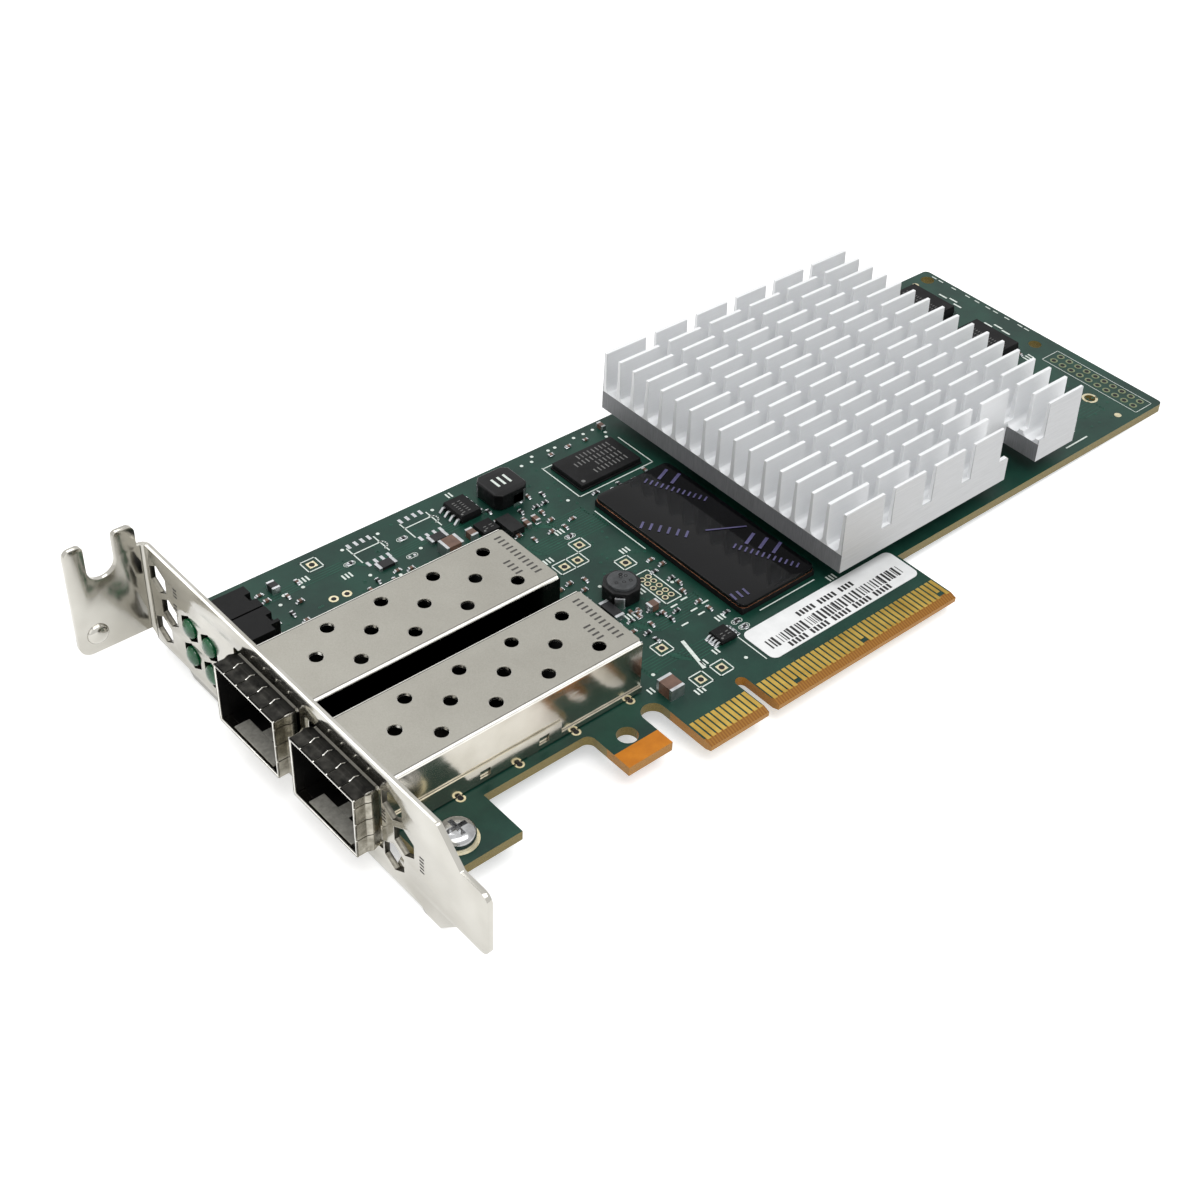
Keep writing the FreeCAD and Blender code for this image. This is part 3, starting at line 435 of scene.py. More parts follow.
def raised(x=0, y=0, z=0):
    """Matrix that sets a flat sheet down at a place."""
    return Matrix.Translation((x, y, z))


print("piece helpers ready")

# %% [markdown]
# ## The board
# The board is glass laminate under a dark green lacquer. The lacquer stops short of the cut edges,
# which show the khaki laminate, and the end of the retention tab and the tongue were never coated,
# so they are bare and orange. All of that is one solid, so one material reads the place on the
# card and the facing direction. Thin copper lines run under the lacquer; they are laid on top as
# very thin strips in a slightly lighter green.

# %% Board finish
def laminate_finish():
    """Lacquer on the faces, bare laminate on the cut edges, the tab's end and the tongue's end."""
    material, tree, shader = finish("laminate_green", Roughness=0.38, IOR=1.5,
                                    Specular_IOR_Level=0.28)
    place = millimetres(tree)
    x, y = add(tree, "SeparateXYZ", {0: place}).outputs[:2]
    facing = add(tree, "SeparateXYZ", {0: add(tree, "NewGeometry").outputs["Normal"]}).outputs[2]
    flat = maths(tree, "GREATER_THAN", maths(tree, "ABSOLUTE", facing), 0.7)

    def within(left, top):
        """1 to the right of a line across the card and below a height, else 0."""
        return maths(tree, "MULTIPLY", maths(tree, "LESS_THAN", y, top),
                     maths(tree, "GREATER_THAN", x, left))

    weave = add(tree, "TexWave", {"Vector": millimetres(tree, (1, 1, 14)), "Scale": 0.9,
                                  "Distortion": 2.5}, bands_direction="Z").outputs["Fac"]
    lines = add(tree, "TexWave", {"Vector": place, "Scale": 0.63}, bands_direction="X").outputs["Fac"]
    lacquer = ramp(tree, cloud(tree, place, 7.0, 4.0), (10, 44, 36), (17, 60, 48), 0.34, 0.66)
    bare = ramp(tree, cloud(tree, place, 2.5), (178, 104, 8), (196, 120, 18))
    tongue = ramp(tree, lines, (128, 80, 16), (150, 102, 32), 0.2, 0.8)
    edge = ramp(tree, weave, (98, 86, 42), (146, 130, 72), 0.2, 0.8)
    orange_edge = ramp(tree, weave, (150, 98, 26), (186, 134, 52), 0.2, 0.8)
    on_tab = maths(tree, "MULTIPLY", within(-25.0, 7.0), maths(tree, "LESS_THAN", x, -14.0))
    top = mixed(tree, within(-13.0, 1.45), mixed(tree, on_tab, lacquer, bare), tongue)
    side = mixed(tree, within(-25.5, 8.5), edge, orange_edge)
    tree.links.new(mixed(tree, flat, side, top), shader.inputs["Base Color"])
    bumped(tree, shader, cloud(tree, place, 0.5), 0.003)
    return material


def dress(names, material):
    """Put one material on every slot of the named solids."""
    for name in names:
        shape = solids[name].data
        if not shape.materials:
            shape.materials.append(material)
        for k in range(len(shape.materials)):
            shape.materials[k] = material


dress(["circuit_board"], laminate_finish())
print("board dressed")

# %% [markdown]
# ## Printing, pads and copper
# White ink marks every part's place: boxes, dots and short marks, here as plain strips without
# letters. Bare pads are tinned. The lines, pads and rings are flat strips that lie a few
# hundredths of a millimetre above the lacquer, in order: copper, pads, ink.

# %% Finishes for ink, pads and covered copper
def grained(name, dark, bright, roughness, patch_size, grain, relief, stretch=(1, 1, 1), **steady):
    """Patchy tone, with fine marks (size, detail, roughness) that change the gloss and the relief."""
    material, tree, shader = finish(name, **steady)
    tone = cloud(tree, millimetres(tree), patch_size)
    marks = cloud(tree, millimetres(tree, stretch), *grain)
    coated(tree, shader, ramp(tree, tone, dark, bright), marks, roughness, relief)
    return material


def flat_finish(name, dark, bright, roughness, patch_size=0.6, **steady):
    """Thin printed or plated layer."""
    return grained(name, dark, bright, roughness, patch_size, (0.12, 2.0), 0.004, **steady)


white_ink = flat_finish("white_ink", (196, 206, 198), (226, 233, 228), (0.5, 0.7))
dark_ink = flat_finish("dark_ink", (42, 40, 38), (70, 66, 62), (0.5, 0.7))
chip_ink = flat_finish("chip_ink", (84, 84, 84), (112, 112, 110), (0.5, 0.7))
label_ink = flat_finish("label_ink", (14, 14, 15), (30, 30, 31), (0.5, 0.7))
film_ink = flat_finish("film_ink", (62, 58, 92), (84, 80, 120), (0.3, 0.45), 3.0)
covered_copper = flat_finish("covered_copper", (16, 62, 49), (28, 82, 65), (0.3, 0.42), 3.0,
                             Specular_IOR_Level=0.28)
pad_plate = flat_finish("pad_plate", (196, 186, 150), (226, 218, 190), (0.3, 0.45),
                        Metallic=1.0)
solder_shine = flat_finish("solder", (186, 188, 190), (226, 228, 230), (0.14, 0.3), 0.3,
                           Metallic=1.0)
aged_pad = flat_finish("aged_pad", (92, 104, 74), (128, 136, 102), (0.4, 0.6))
# holes are flat discs painted near black as the shade inside them
painted_hole_shade = flat_finish("painted_hole_shade", (8, 9, 9), (16, 17, 16), (0.7, 0.9))
print("finishes so far:", len(bpy.data.materials))

# %% Places of the larger pieces
board_low, board_high = box_of("circuit_board")
cage_one, cage_two = box_of("cage_cover_1"), box_of("cage_cover_2")
sink_low, sink_high = box_of("heat_sink")
slab_low, slab_high = box_of("heat_spreader")
memory_low, memory_high = box_of("memory_chip")
copper_z, pad_z, ink_z = 0.015, 0.03, 0.045
print("board", [round(v, 1) for v in board_high], "sink from", round(sink_low.x, 1))

# %% Copper lines under the lacquer
def copper_lines():
    """Bundles of lines that step sideways at a bend, with a plated hole at both ends."""
    work = bmesh.new()
    turn = random.Random(7)
    wide, hole, stagger = 0.16, 0.24, 0.4
    for x, y, count, length, pitch in (
            (-9.5, 16.0, 6, 14.0, 0.55), (-9.0, 24.0, 8, 17.0, 0.5), (-11.5, 47.5, 7, 20.0, 0.55),
            (-33.0, 50.0, 5, 18.0, 0.6), (-46.0, 62.5, 4, 38.0, 0.5), (-5.0, 52.5, 5, 13.0, 0.5),
            (85.0, 20.0, 9, 14.0, 0.7), (85.0, 44.0, 9, 18.0, 0.7), (88.0, 62.0, 5, 14.0, 0.7)):
        bend = turn.uniform(0.3, 0.6) * length
        rise = turn.choice((-1, 1)) * turn.uniform(1.2, 3.0)
        for k in range(count):
            low, corner = y + k * pitch, x + bend - k * pitch * stagger
            stroke(work, [(x, low), (corner, low), (corner + abs(rise), low + rise),
                          (x + length, low + rise)], wide, copper_z)
            washer(work, x, low, 0, hole, copper_z, 10)
            washer(work, x + length, low + rise, 0, hole, copper_z, 10)
    return made_piece("copper_lines", work, [covered_copper])


copper_lines()

# %% Places that ink and pads share
test_pads = ((-33, 66.1), (1.7, 45.0), (4.5, 37.3), (-4.2, 19.2), (-4.3, 10.7), (-0.2, 10.7))
pad_pair = ((-3.5, 42.3), (-0.9, 42.3))
empty_places = ((-28.5, 62.8), (-18.8, 62.9), (1.9, 47.5), (8.5, 16.7), (8.6, 15.2), (-20, 58.6))
print("shared places", len(test_pads) + len(pad_pair) + len(empty_places))

# %% Printed frames
def frames_round_places(work):
    """Thin frames round test pads, empty places and the rows of plated holes."""
    fine = 0.2
    for x, y in test_pads:
        stroke(work, rectangle(x - 1.3, x + 1.3, y - 1.3, y + 1.3), fine, ink_z, True)
    for x, y in empty_places:
        stroke(work, [(x + a, y + b) for a, b in ((-1.0, 0), (-0.7, -0.45), (0.7, -0.45), (1.0, 0),
                                                  (0.7, 0.45), (-0.7, 0.45))], 0.11, ink_z, True)
    stroke(work, rectangle(-5.0, 0.4, 41.0, 43.6), fine, ink_z, True)
    stroke(work, rectangle(2.9, 6.0, 26.1, 34.0), fine, ink_z, True)
    stroke(work, rectangle(102.6, 107.1, 13.3, 34.6), 0.12, ink_z, True)
    for line in ([(-2.2, 41.0), (-2.2, 43.6)], [(9.6, 63.9), (9.6, 54.35), (25.15, 54.35), (25.15, 63.0)],
                 [(9.7, 63.75), (11.5, 63.75)], [(9.1, 38.0), (9.1, 50.0)],
                 [(13.0, 16.3), (24.5, 16.3)], [(6.2, 8.0), (6.2, 13.9)]):
        stroke(work, line, fine, ink_z)
    for left, right, low, high, middle in ((-26.8, -21.9, 61.9, 66.0, 64.3),
                                           (-17.0, -12.0, 62.0, 66.0, 64.7)):
        for line in ([(left, low), (left, high)], [(right, low), (right, high)],
                     [(left, middle), (right, middle)]):
            stroke(work, line, 0.22, ink_z)
        half_turn = circle(right - 0.2, middle - 0.7, 0.9, 12, -90)[:7]
        stroke(work, half_turn, 0.22, ink_z)


print("frames round", len(test_pads) + len(empty_places), "places")

# %% White printing
def printed_marks():
    """All the ink on the component side. Words are left off: plain short bars stand there."""
    work = bmesh.new()
    frames_round_places(work)
    for x, y in ((-36.9, 62.5), (-41.7, 61.1), (-40.2, 62.6), (-27.6, 58.7), (-17.9, 59.3), (-24, 56),
                 (7, 29.4), (-2.3, 35.4), (-9, 15.7), (4, 10), (7.4, 66.5), (9.4, 66.4), (10.3, 67.5),
                 (13.5, 67.2), (14.9, 67.2), (19.1, 67.4), (21.1, 67.3), (23.1, 67.3), (24.4, 65.5),
                 (23.7, 64.4), (7.5, 54.8), (-27.5, 66.2), (-21.0, 66.2), (-10.9, 65.9)):
        washer(work, x, y, 0, 0.3, ink_z, 14)
    for x, y in ((3.5, 25.1), (5.8, 25.4), (5.3, 22.6), (7.8, 22.9), (5.6, 21.3), (2, 21)):
        stroke(work, [(x - 0.5, y), (x + 0.5, y)], 0.3, ink_z)
    for y in (66.5, 64.8, 61.5, 58.0, 55.6, 52.9, 51.0, 48.2, 45.0, 43.4):
        stroke(work, [(108.2, y), (108.2, y - 0.9)], 0.26, ink_z)
    for x, y in ((104.4, 61.2), (104.9, 59.0), (104.0, 57.2), (103.6, 49.2), (104.6, 47.6),
                 (104.2, 45.4)):
        stroke(work, [(x, y), (x, y - 1.5)], 0.4, ink_z)
    stroke(work, [(-0.9, 18.2), (-2.2, 12.4)], 0.6, ink_z)
    stroke(work, [(84.0, 14.1), (89.5, 14.1)], 0.3, ink_z)
    for x, y, count in ((-36.5, 63.4, 3), (-31.0, 60.2, 3), (-24.6, 59.0, 4), (-14.8, 58.4, 3),
                        (-9.6, 52.2, 3), (-6.9, 66.9, 2), (0.6, 48.9, 3), (5.7, 39.2, 3),
                        (-5.2, 44.4, 3), (1.4, 35.0, 2), (-7.6, 21.2, 3), (-1.8, 12.6, 2),
                        (-6.6, 8.6, 3), (6.5, 18.4, 3), (1.2, 13.3, 2), (-11.8, 12.9, 2),
                        (-3.8, 27.0, 3), (-8.9, 28.4, 2), (1.6, 30.2, 2), (26.4, 14.6, 3)):
        bars(work, (x, y), (0.62, 0), count, (0, 0.9), 0.3, ink_z)
    for x, y, count in ((86.0, 16.5, 5), (94.0, 64.0, 4), (97.5, 58.8, 3), (100.2, 36.0, 3)):
        bars(work, (x, y), (0.75, 0), count, (0, 1.1), 0.34, ink_z)
    return made_piece("printed_marks", work, [white_ink])


printed_marks()

# %% Pads and plated holes
def bare_pads():
    """Test pads, empty footprints and ring pads, each a plated patch with its hole painted dark as shade.
    """
    work = bmesh.new()
    plate, dark, bright, lacquered, aged = range(5)
    hole_z = pad_z + 0.012

    def ring_pad(x, y, hole, pad, finish_number=plate):
        washer(work, x, y, hole / 2, pad / 2, pad_z, 20, finish_number)
        washer(work, x, y, 0, hole / 2, hole_z, 18, dark)

    for x, y in test_pads + pad_pair:
        patch(work, rectangle(x - 0.7, x + 0.7, y - 0.7, y + 0.7), pad_z, plate)
        washer(work, x, y, 0, 0.46, hole_z, 18, dark)
    for xs, top, low in (((-26.3, -25.0, -23.8, -22.6), 66.3, 61.0),
                         ((-16.5, -15.2, -13.9, -12.7), 66.6, 61.2)):
        for x, y in [(x, y) for x in xs for y in (top, low)]:
            patch(work, rectangle(x - 0.26, x + 0.26, y - 0.55, y + 0.55), pad_z, bright)
    for x, y in empty_places:
        for middle in (x - 0.45, x + 0.45):
            patch(work, rectangle(middle - 0.2, middle + 0.2, y - 0.24, y + 0.24), pad_z, bright)
    for x, y in ((-34.9, 57.5), (-32.7, 57.3)):
        ring_pad(x, y, 0.8, 1.5)
    for x, y in [(x, y) for x in (3.8, 5.0) for y in (32.6, 31.4, 30.1, 28.7, 27.4)]:
        ring_pad(x, y, 0.65, 1.05)
    for x, y in [(x, y) for y in range(15, 35, 2) for x in (104.0, 106.0)]:
        ring_pad(x, y, 0.84, 1.44, aged)
    for x, y in ((99.3, 14.8), (103.2, 66.4)):
        washer(work, x, y, 0, 0.65, pad_z, 20, plate)
    # plated rim round the board's own small hole
    washer(work, 99.5, 21.2, 1.0, 1.45, pad_z, 32, plate)
    scattered = random.Random(11)
    for count, left, right, low, high, reach in ((150, -11.0, 9.0, 14.0, 66.0, 0.24),
                                                 (70, 84.0, 102.0, 14.0, 66.0, 0.26),
                                                 (46, -50.0, -12.0, 48.5, 67.0, 0.24)):
        for _ in range(count):
            x, y = scattered.uniform(left, right), scattered.uniform(low, high)
            washer(work, x, y, 0.1, reach, pad_z, 8, lacquered)
    return made_piece("bare_pads", work, [pad_plate, painted_hole_shade, solder_shine, covered_copper,
                                          aged_pad])


bare_pads()

# %% [markdown]
# ## Metals
# The metals differ in colour, in roughness and in the direction of the fine marks that rolling and
# sawing leave. The edge contacts are gold, the bracket is satin nickel, the cages are brighter
# nickel with a grainy top and mirror-like sides, and the heat sink is clear-anodised aluminium.

# %% Metal finishes
def metal(name, dark, bright, roughness, patch_size, stretch=(1, 1, 1), relief=0.002, grain=0.12):
    """Metal with patchy tone and fine marks stretched along one direction."""
    return grained(name, dark, bright, roughness, patch_size, (grain, 2.0, 0.6), relief, stretch,
                   Metallic=1.0)


def grainy_nickel():
    """Cage tops: the plating sits on a slightly rough, unpolished sheet, so it glitters finely."""
    material, tree, shader = finish("cage_top_nickel", Metallic=1.0)
    place = millimetres(tree)
    fine = cloud(tree, place, 0.16, 2.0, 0.7)
    slow = cloud(tree, place, 9.0, 2.0)
    speck = mixed(tree, fine, light(124, 122, 113), light(184, 182, 175))
    drift = mixed(tree, slow, light(138, 135, 126), light(168, 166, 158))
    coated(tree, shader, mixed(tree, 0.5, speck, drift), fine, (0.42, 0.58), 0.014)
    return material


def mirror_nickel():
    """Cage sides: smooth plating with slow waves. The faces in the gap between the cages are painted dark
    as shade, because little light reaches them.
    """
    material, tree, shader = finish("cage_side_nickel", Metallic=1.0)
    place = millimetres(tree)
    along = add(tree, "SeparateXYZ", {0: place}).outputs[1]
    # mask of the gap between the cages, whose faces are painted dark as shade
    gap = maths(tree, "MULTIPLY", maths(tree, "GREATER_THAN", along, cage_one[1].y - 0.2),
                maths(tree, "LESS_THAN", along, cage_two[0].y + 0.2))
    open_side = ramp(tree, cloud(tree, place, 9.0), (178, 173, 160), (204, 200, 190))
    waves = cloud(tree, millimetres(tree, (0.35, 1, 1)), 2.4, 2.0)
    coated(tree, shader, mixed(tree, gap, open_side, light(44, 42, 38)), waves, (0.12, 0.22), 0.05)
    return material


gold = metal("gold_plate", (176, 142, 66), (206, 176, 92), (0.3, 0.44), 4.0)
bracket_nickel = metal("bracket_nickel", (168, 165, 156), (206, 204, 197),
                       (0.11, 0.2), 16.0, (1, 1, 0.2))
cage_top, cage_side = grainy_nickel(), mirror_nickel()
# inner faces of cages, collars and mouths: nickel painted near black as shade
painted_inside_shade = metal("painted_inside_shade", (22, 22, 22), (38, 37, 36), (0.5, 0.7), 3.0)
# folds, vent lips, rolled edges and cut lips: nickel painted bright as a highlight
painted_rim_highlight = metal("painted_rim_highlight", (214, 212, 204), (236, 234, 228), (0.2, 0.34), 2.0)
# the collar's top fingers: nickel painted near black as a reflection of the dark room
collar_painted_reflection = metal("collar_painted_dark_reflection", (20, 20, 19), (50, 49, 46), (0.26, 0.44), 1.4,
                    (1, 0.3, 1), 0.004, 0.1)
collar_bright = metal("collar_nickel", (128, 124, 112), (190, 186, 174), (0.16, 0.3), 1.2,
                      (1, 1, 1), 0.003)
vent_wall = metal("vent_wall", (70, 68, 62), (120, 117, 108), (0.25, 0.4), 2.0)
screw_zinc = metal("screw_zinc", (150, 150, 150), (196, 197, 198), (0.1, 0.2), 2.0)
tin = metal("tin_plate", (178, 180, 182), (208, 210, 212), (0.25, 0.45), 1.5)
dress(["contacts_component_side", "contacts_solder_side", "host_contacts_1", "host_contacts_2"], gold)
dress(["bracket"], bracket_nickel)
dress(["cage_cover_1", "cage_cover_2", "cage_base_1", "cage_base_2", "emi_collar_1",
       "emi_collar_2"], cage_side)
dress([n for n in solids if n.endswith("_leads") or n.endswith("_ends")] + ["choke_terminals"], tin)
print("metals ready")

# %% [markdown]
# ## The bracket
# The bracket is one folded sheet: a strip with windows and hexagonal openings, and at its end a tab
# with an open slot for the chassis screw. A sheet that is cut flat has slightly rounded edges that
# catch the light, and a sharp solid doesn't show them, so the strip and the tab are cut again from
# flat outlines with an eased edge, and a quarter bend joins them.

# %% Rounded outlines
def eased_path(corners, steps=5):
    """Closed outline from corners given as a, b and the corner's radius."""
    points = []
    count = len(corners)
    for k, (a, b, radius) in enumerate(corners):
        here = Vector((a, b))
        if radius <= 0:
            points.append((a, b))
            continue
        back = (Vector(corners[k - 1][:2]) - here).normalized()
        on = (Vector(corners[(k + 1) % count][:2]) - here).normalized()
        half = back.angle(on) / 2
        middle = here + (back + on).normalized() * radius / math.sin(half)
        first = here + back * radius / math.tan(half)
        last = here + on * radius / math.tan(half)
        start, end = first - middle, last - middle
        turn = math.atan2(start.x * end.y - start.y * end.x, start.dot(end))
        for step in range(steps + 1):
            points.append(tuple(middle + Matrix.Rotation(turn * step / steps, 2) @ start))
    return points


def hexagon(a, b, across):
    """Hexagonal opening with two upright sides."""
    return circle(a, b, across / math.sqrt(3), 6, 30)


print("hexagon", [round(v, 2) for v in hexagon(0, 0, 4.15)[0]])

# %% Sizes of the bracket
bracket_low, bracket_high = box_of("bracket")
sheet, fold = 0.86, 0.45
strip_face, tab_face = -57.15, 70.0
strip_top, strip_bottom = 13.55, -3.95
cage_starts = (cage_one[0].y, cage_two[0].y)
cage_width = cage_one[1].y - cage_one[0].y
lens_boxes = [box_of("led_lens_%d" % k) for k in (1, 2, 3, 4)]
lens_places = [((low.y + high.y) / 2, (low.z + high.z) / 2) for low, high in lens_boxes]
vent_across, vent_middle, vent_row, vent_stagger = 4.15, 4.3, 4.65, 2.35
outer_vents = tab_face - 2.95
tail_vents = cage_starts[0] - 0.75 - vent_across / 2 - 0.35
vent_places = [(start - shift * vent_stagger, vent_middle + row * vent_row)
               for row, shift in ((-1, 0), (0, 1), (1, 0)) for start in (outer_vents, tail_vents)]
print("vents", [tuple(round(v, 1) for v in place) for place in vent_places])

# %% Outlines of the bracket
def strip_corners():
    """Outline of the strip up to the fold: y, z and corner radius."""
    tip, nose, foot = bracket_low.y, 8.9, -5.6
    ledge = strip_bottom - 0.9
    return [(tab_face - fold, strip_top, 0), (1.7, strip_top, 0.8), (-2.45, 9.4, 0.6),
            (-2.95, nose, 0.3), (tip, nose, 1.5), (tip, -2.1, 1.5), (-1.9, -2.1, 0.5),
            (1.7, foot, 0.6), (4.7, foot, 0.4), (5.5, ledge, 0.4), (60.2, ledge, 0.4),
            (61.1, strip_bottom, 0.4), (tab_face - fold, strip_bottom, 0)]


def tab_corners():
    """Outline of the screw tab with its slot: x, z and corner radius."""
    outer, inner, slot = strip_face - 11.6, strip_face - 0.9, strip_face - 6.45
    half, top, bottom, floor = 2.21, bracket_high.z, -1.75, 10.65
    return [(strip_face - fold, bottom, 0), (strip_face - fold, strip_top, 0),
            (inner, strip_top, 0), (inner, top, 1.2), (slot + half, top, 0.8),
            (slot + half, floor, half - 0.01), (slot - half, floor, half - 0.01),
            (slot - half, top, 0.8), (outer, top, 1.2), (outer, bottom, 2.0)]


def window_corners(start):
    """Opening round one cage mouth."""
    gap, low, high = 0.75, -1.1, 10.25
    return [(start - gap, low, 0.5), (start + cage_width + gap, low, 0.5),
            (start + cage_width + gap, high, 0.5), (start - gap, high, 0.5)]


print("strip corners", len(strip_corners()), "tab corners", len(tab_corners()))

# %% Folded bracket
def bend(work, middle, radii, turns, ends):
    """Curved sheet between two flat ones. At each place, ends gives the sheet's two edge points."""
    rings = []
    for step, turn in enumerate(turns):
        rings.append([])
        for radius, order in zip(radii, (1, -1)):
            a = middle[0] + radius * math.cos(math.radians(turn))
            b = middle[1] + radius * math.sin(math.radians(turn))
            rings[-1] += [work.verts.new(point) for point in ends(a, b, step)[::order]]
    for one, two in zip(rings[:-1], rings[1:]):
        joined(work, one, two)


def screw_ear(work):
    """Ear that runs from the strip to under the board, where it takes the bracket screw."""
    low, high, reach, under, radius = 5.1, 11.7, 9.2, -2.88, 1.31
    back = strip_face + sheet
    foot = [(back + radius, low, 0), (back + reach, low, 2.9), (back + reach, high, 2.9),
            (back + radius, high, 0)]
    cut_sheet(work, [eased_path(foot)], sheet, 0.08, raised(z=board_low.z - sheet / 2))
    eased_block(work, (back, low, strip_bottom - 0.9), (back + sheet, high, under), 0.08)
    bend(work, (back + radius, under), (fold, radius), range(90, 181, 18),
         lambda a, b, step: [(a, low, b), (a, high, b)])


def folded_bracket():
    work = bmesh.new()
    outlines = [eased_path(strip_corners())]
    outlines += [hexagon(y, z, vent_across) for y, z in vent_places]
    outlines += [hexagon(y, z, 4.0) for y, z in lens_places]
    outlines += [eased_path(window_corners(start)) for start in cage_starts]
    cut_sheet(work, outlines, sheet, 0.1, raised(x=strip_face + sheet / 2) @ UPRIGHT)
    for face in work.faces:
        at = face.calc_center_median()
        if abs(face.normal.x) < 0.5 and any(math.hypot(at.y - y, at.z - z) < 2.4
                                            for y, z in vent_places + lens_places):
            face.material_index = 1
    cut_sheet(work, [eased_path(tab_corners(), 8)], sheet, 0.1, raised(y=tab_face + sheet / 2) @ ALONG)
    # the tab starts higher than the strip, so the bend's low edge rises on the way
    bend(work, (strip_face - fold, tab_face - fold), (fold, fold + sheet), range(0, 91, 15),
         lambda x, y, step: [(x, y, strip_bottom + 0.1 + 2.1 * step / 6), (x, y, strip_top - 0.1)])
    screw_ear(work)
    dimple = [(0.85 * math.sin(math.radians(90 - t)), 1.65 * math.sin(math.radians(t)) + 0.02)
              for t in (90, 75, 60, 45, 30, 15, 1)]
    turned(work, dimple, (strip_face - 8.6, tab_face, 1.55), 28, "Y")
    bmesh.ops.recalc_face_normals(work, faces=work.faces)
    return made_piece("folded_bracket", work, [bracket_nickel, vent_wall],
                      ["bracket"], 30)


folded_bracket()

# %% Plain marks beside the ports
def port_marks():
    """Short dark bars where the real bracket has words, one row above the other."""
    work = bmesh.new()
    x, long, tall, gap = strip_face - 0.012, 0.9, 0.28, 0.62
    for left, top, count in ((61.9, 10.0, 3), (62.3, 6.9, 2), (12.6, 6.6, 4), (4.6, 4.4, 5)):
        for low in [top - k * gap for k in range(count)]:
            corners = [(left, low), (left + long, low), (left + long, low + tall), (left, low + tall)]
            work.faces.new([work.verts.new((x, a, b)) for a, b in corners])
    bmesh.ops.recalc_face_normals(work, faces=work.faces)
    return made_piece("port_marks", work, [dark_ink])


port_marks()

# %% [markdown]
# ## The bracket screw
# A pan-head screw with a cross recess holds the bracket's ear to the board. The head is turned, and
# the recess is cut with two crossing blocks, as a punch would press it. The ring pads that the screw
# and the cage pins stand on belong to the board.

# %% Bracket screw
def machine_screw():
    """Pan head with a cross recess, cut from a turned head with two crossing blocks."""
    low, high = box_of("bracket_screw")
    x, y, top = (low.x + high.x) / 2, (low.y + high.y) / 2, high.z
    reach, rim = (high.x - low.x) / 2 - 0.02, 1.15
    work = bmesh.new()
    rings = [(0, reach), (rim, reach)]
    rings += [(rim + (top - rim) * math.sin(math.radians(t)),
               reach * (0.45 + 0.55 * math.cos(math.radians(t)))) for t in (15, 30, 45, 60, 75, 89)]
    turned(work, rings, (x, y, 0), 48)
    turned(work, [(low.z, 1.3), (low.z + 0.3, 1.48), (0.05, 1.48)], (x, y, 0), 24)
    head = made_piece("machine_screw", work, [screw_zinc], ["bracket_screw"], 35)
    tool = bmesh.new()
    for wide, deep in ((1.55, 0.36), (0.36, 1.55)):
        eased_block(tool, (x - wide, y - deep, top - 1.2), (x + wide, y + deep, top + 1))
    bmesh.ops.scale(tool, vec=(mm, mm, mm), verts=tool.verts)
    cutter_shape = bpy.data.meshes.new("recess")
    tool.to_mesh(cutter_shape)
    tool.free()
    cutter = bpy.data.objects.new("recess", cutter_shape)
    bpy.context.scene.collection.objects.link(cutter)
    cut = head.modifiers.new("recess", "BOOLEAN")
    cut.object, cut.operation, cut.solver, cut.use_self = cutter, "DIFFERENCE", "EXACT", True
    bpy.context.view_layer.update()
    solved = bpy.data.meshes.new_from_object(head.evaluated_get(bpy.context.evaluated_depsgraph_get()))
    head.modifiers.clear()
    head.data = solved
    bpy.data.objects.remove(cutter)
    solved.set_sharp_from_angle(angle=math.radians(35))
    return head


screw = machine_screw()
print("screw faces", len(screw.data.polygons))

# %% Ring pad under the screw and round the cage pins
def ring_pads():
    work = bmesh.new()
    low, high = box_of("bracket_screw")
    washer(work, (low.x + high.x) / 2, (low.y + high.y) / 2, 1.6, 3.05, 0.02, 40)
    for x in [cage_one[1].x - 2.4 - 9.87 * k for k in range(4)]:
        for start in cage_starts:
            for y in (start - 0.62, start + cage_width + 0.62):
                washer(work, x, y, 0.42, 0.72, 0.02, 24)
                # each pin hole is a disc painted dark as shade
                washer(work, x, y, 0, 0.42, 0.03, 20, 1)
    return made_piece("ring_pads", work, [pad_plate, painted_hole_shade])


ring_pads()

# %% [markdown]
# ## The transceiver cages
# Each cage is folded from thin nickel-plated sheet: a top with twelve round vents, bright sides that
# mirror the board, a back wall, and a spring collar round the mouth. A fold can't be sharp, so the
# long edges are small quarter rounds, painted bright as a highlight, with a hair-wide seam beside
# them painted dark as shade. The inner faces are painted near black as shade, because almost no
# light reaches them, and the lips under the vents are painted bright as highlights.

# %% Cage covers
vent_radius = 1.08


def vent_lip(work, x, y, top):
    """Short upright ring under a vent, painted bright as a highlight that shows through the hole."""
    rings = [[work.verts.new((a, b, top - depth)) for a, b in circle(x, y, radius, 32)]
             for depth, radius in ((0.1, vent_radius), (0.1, 1.02), (0.52, 1.0), (0.52, vent_radius))]
    for one, two in zip(rings, rings[1:] + rings[:1]):
        joined(work, one, two, 3)


def vent_middles(back, middle):
    """Twelve vents in four groups of three, counted from the back of the cage."""
    places = []
    for x in [back - 5.35 - k * 8.92 for k in range(4)]:
        places += [(x, middle + 4.05), (x, middle - 4.05), (x - 4.46, middle)]
    return places


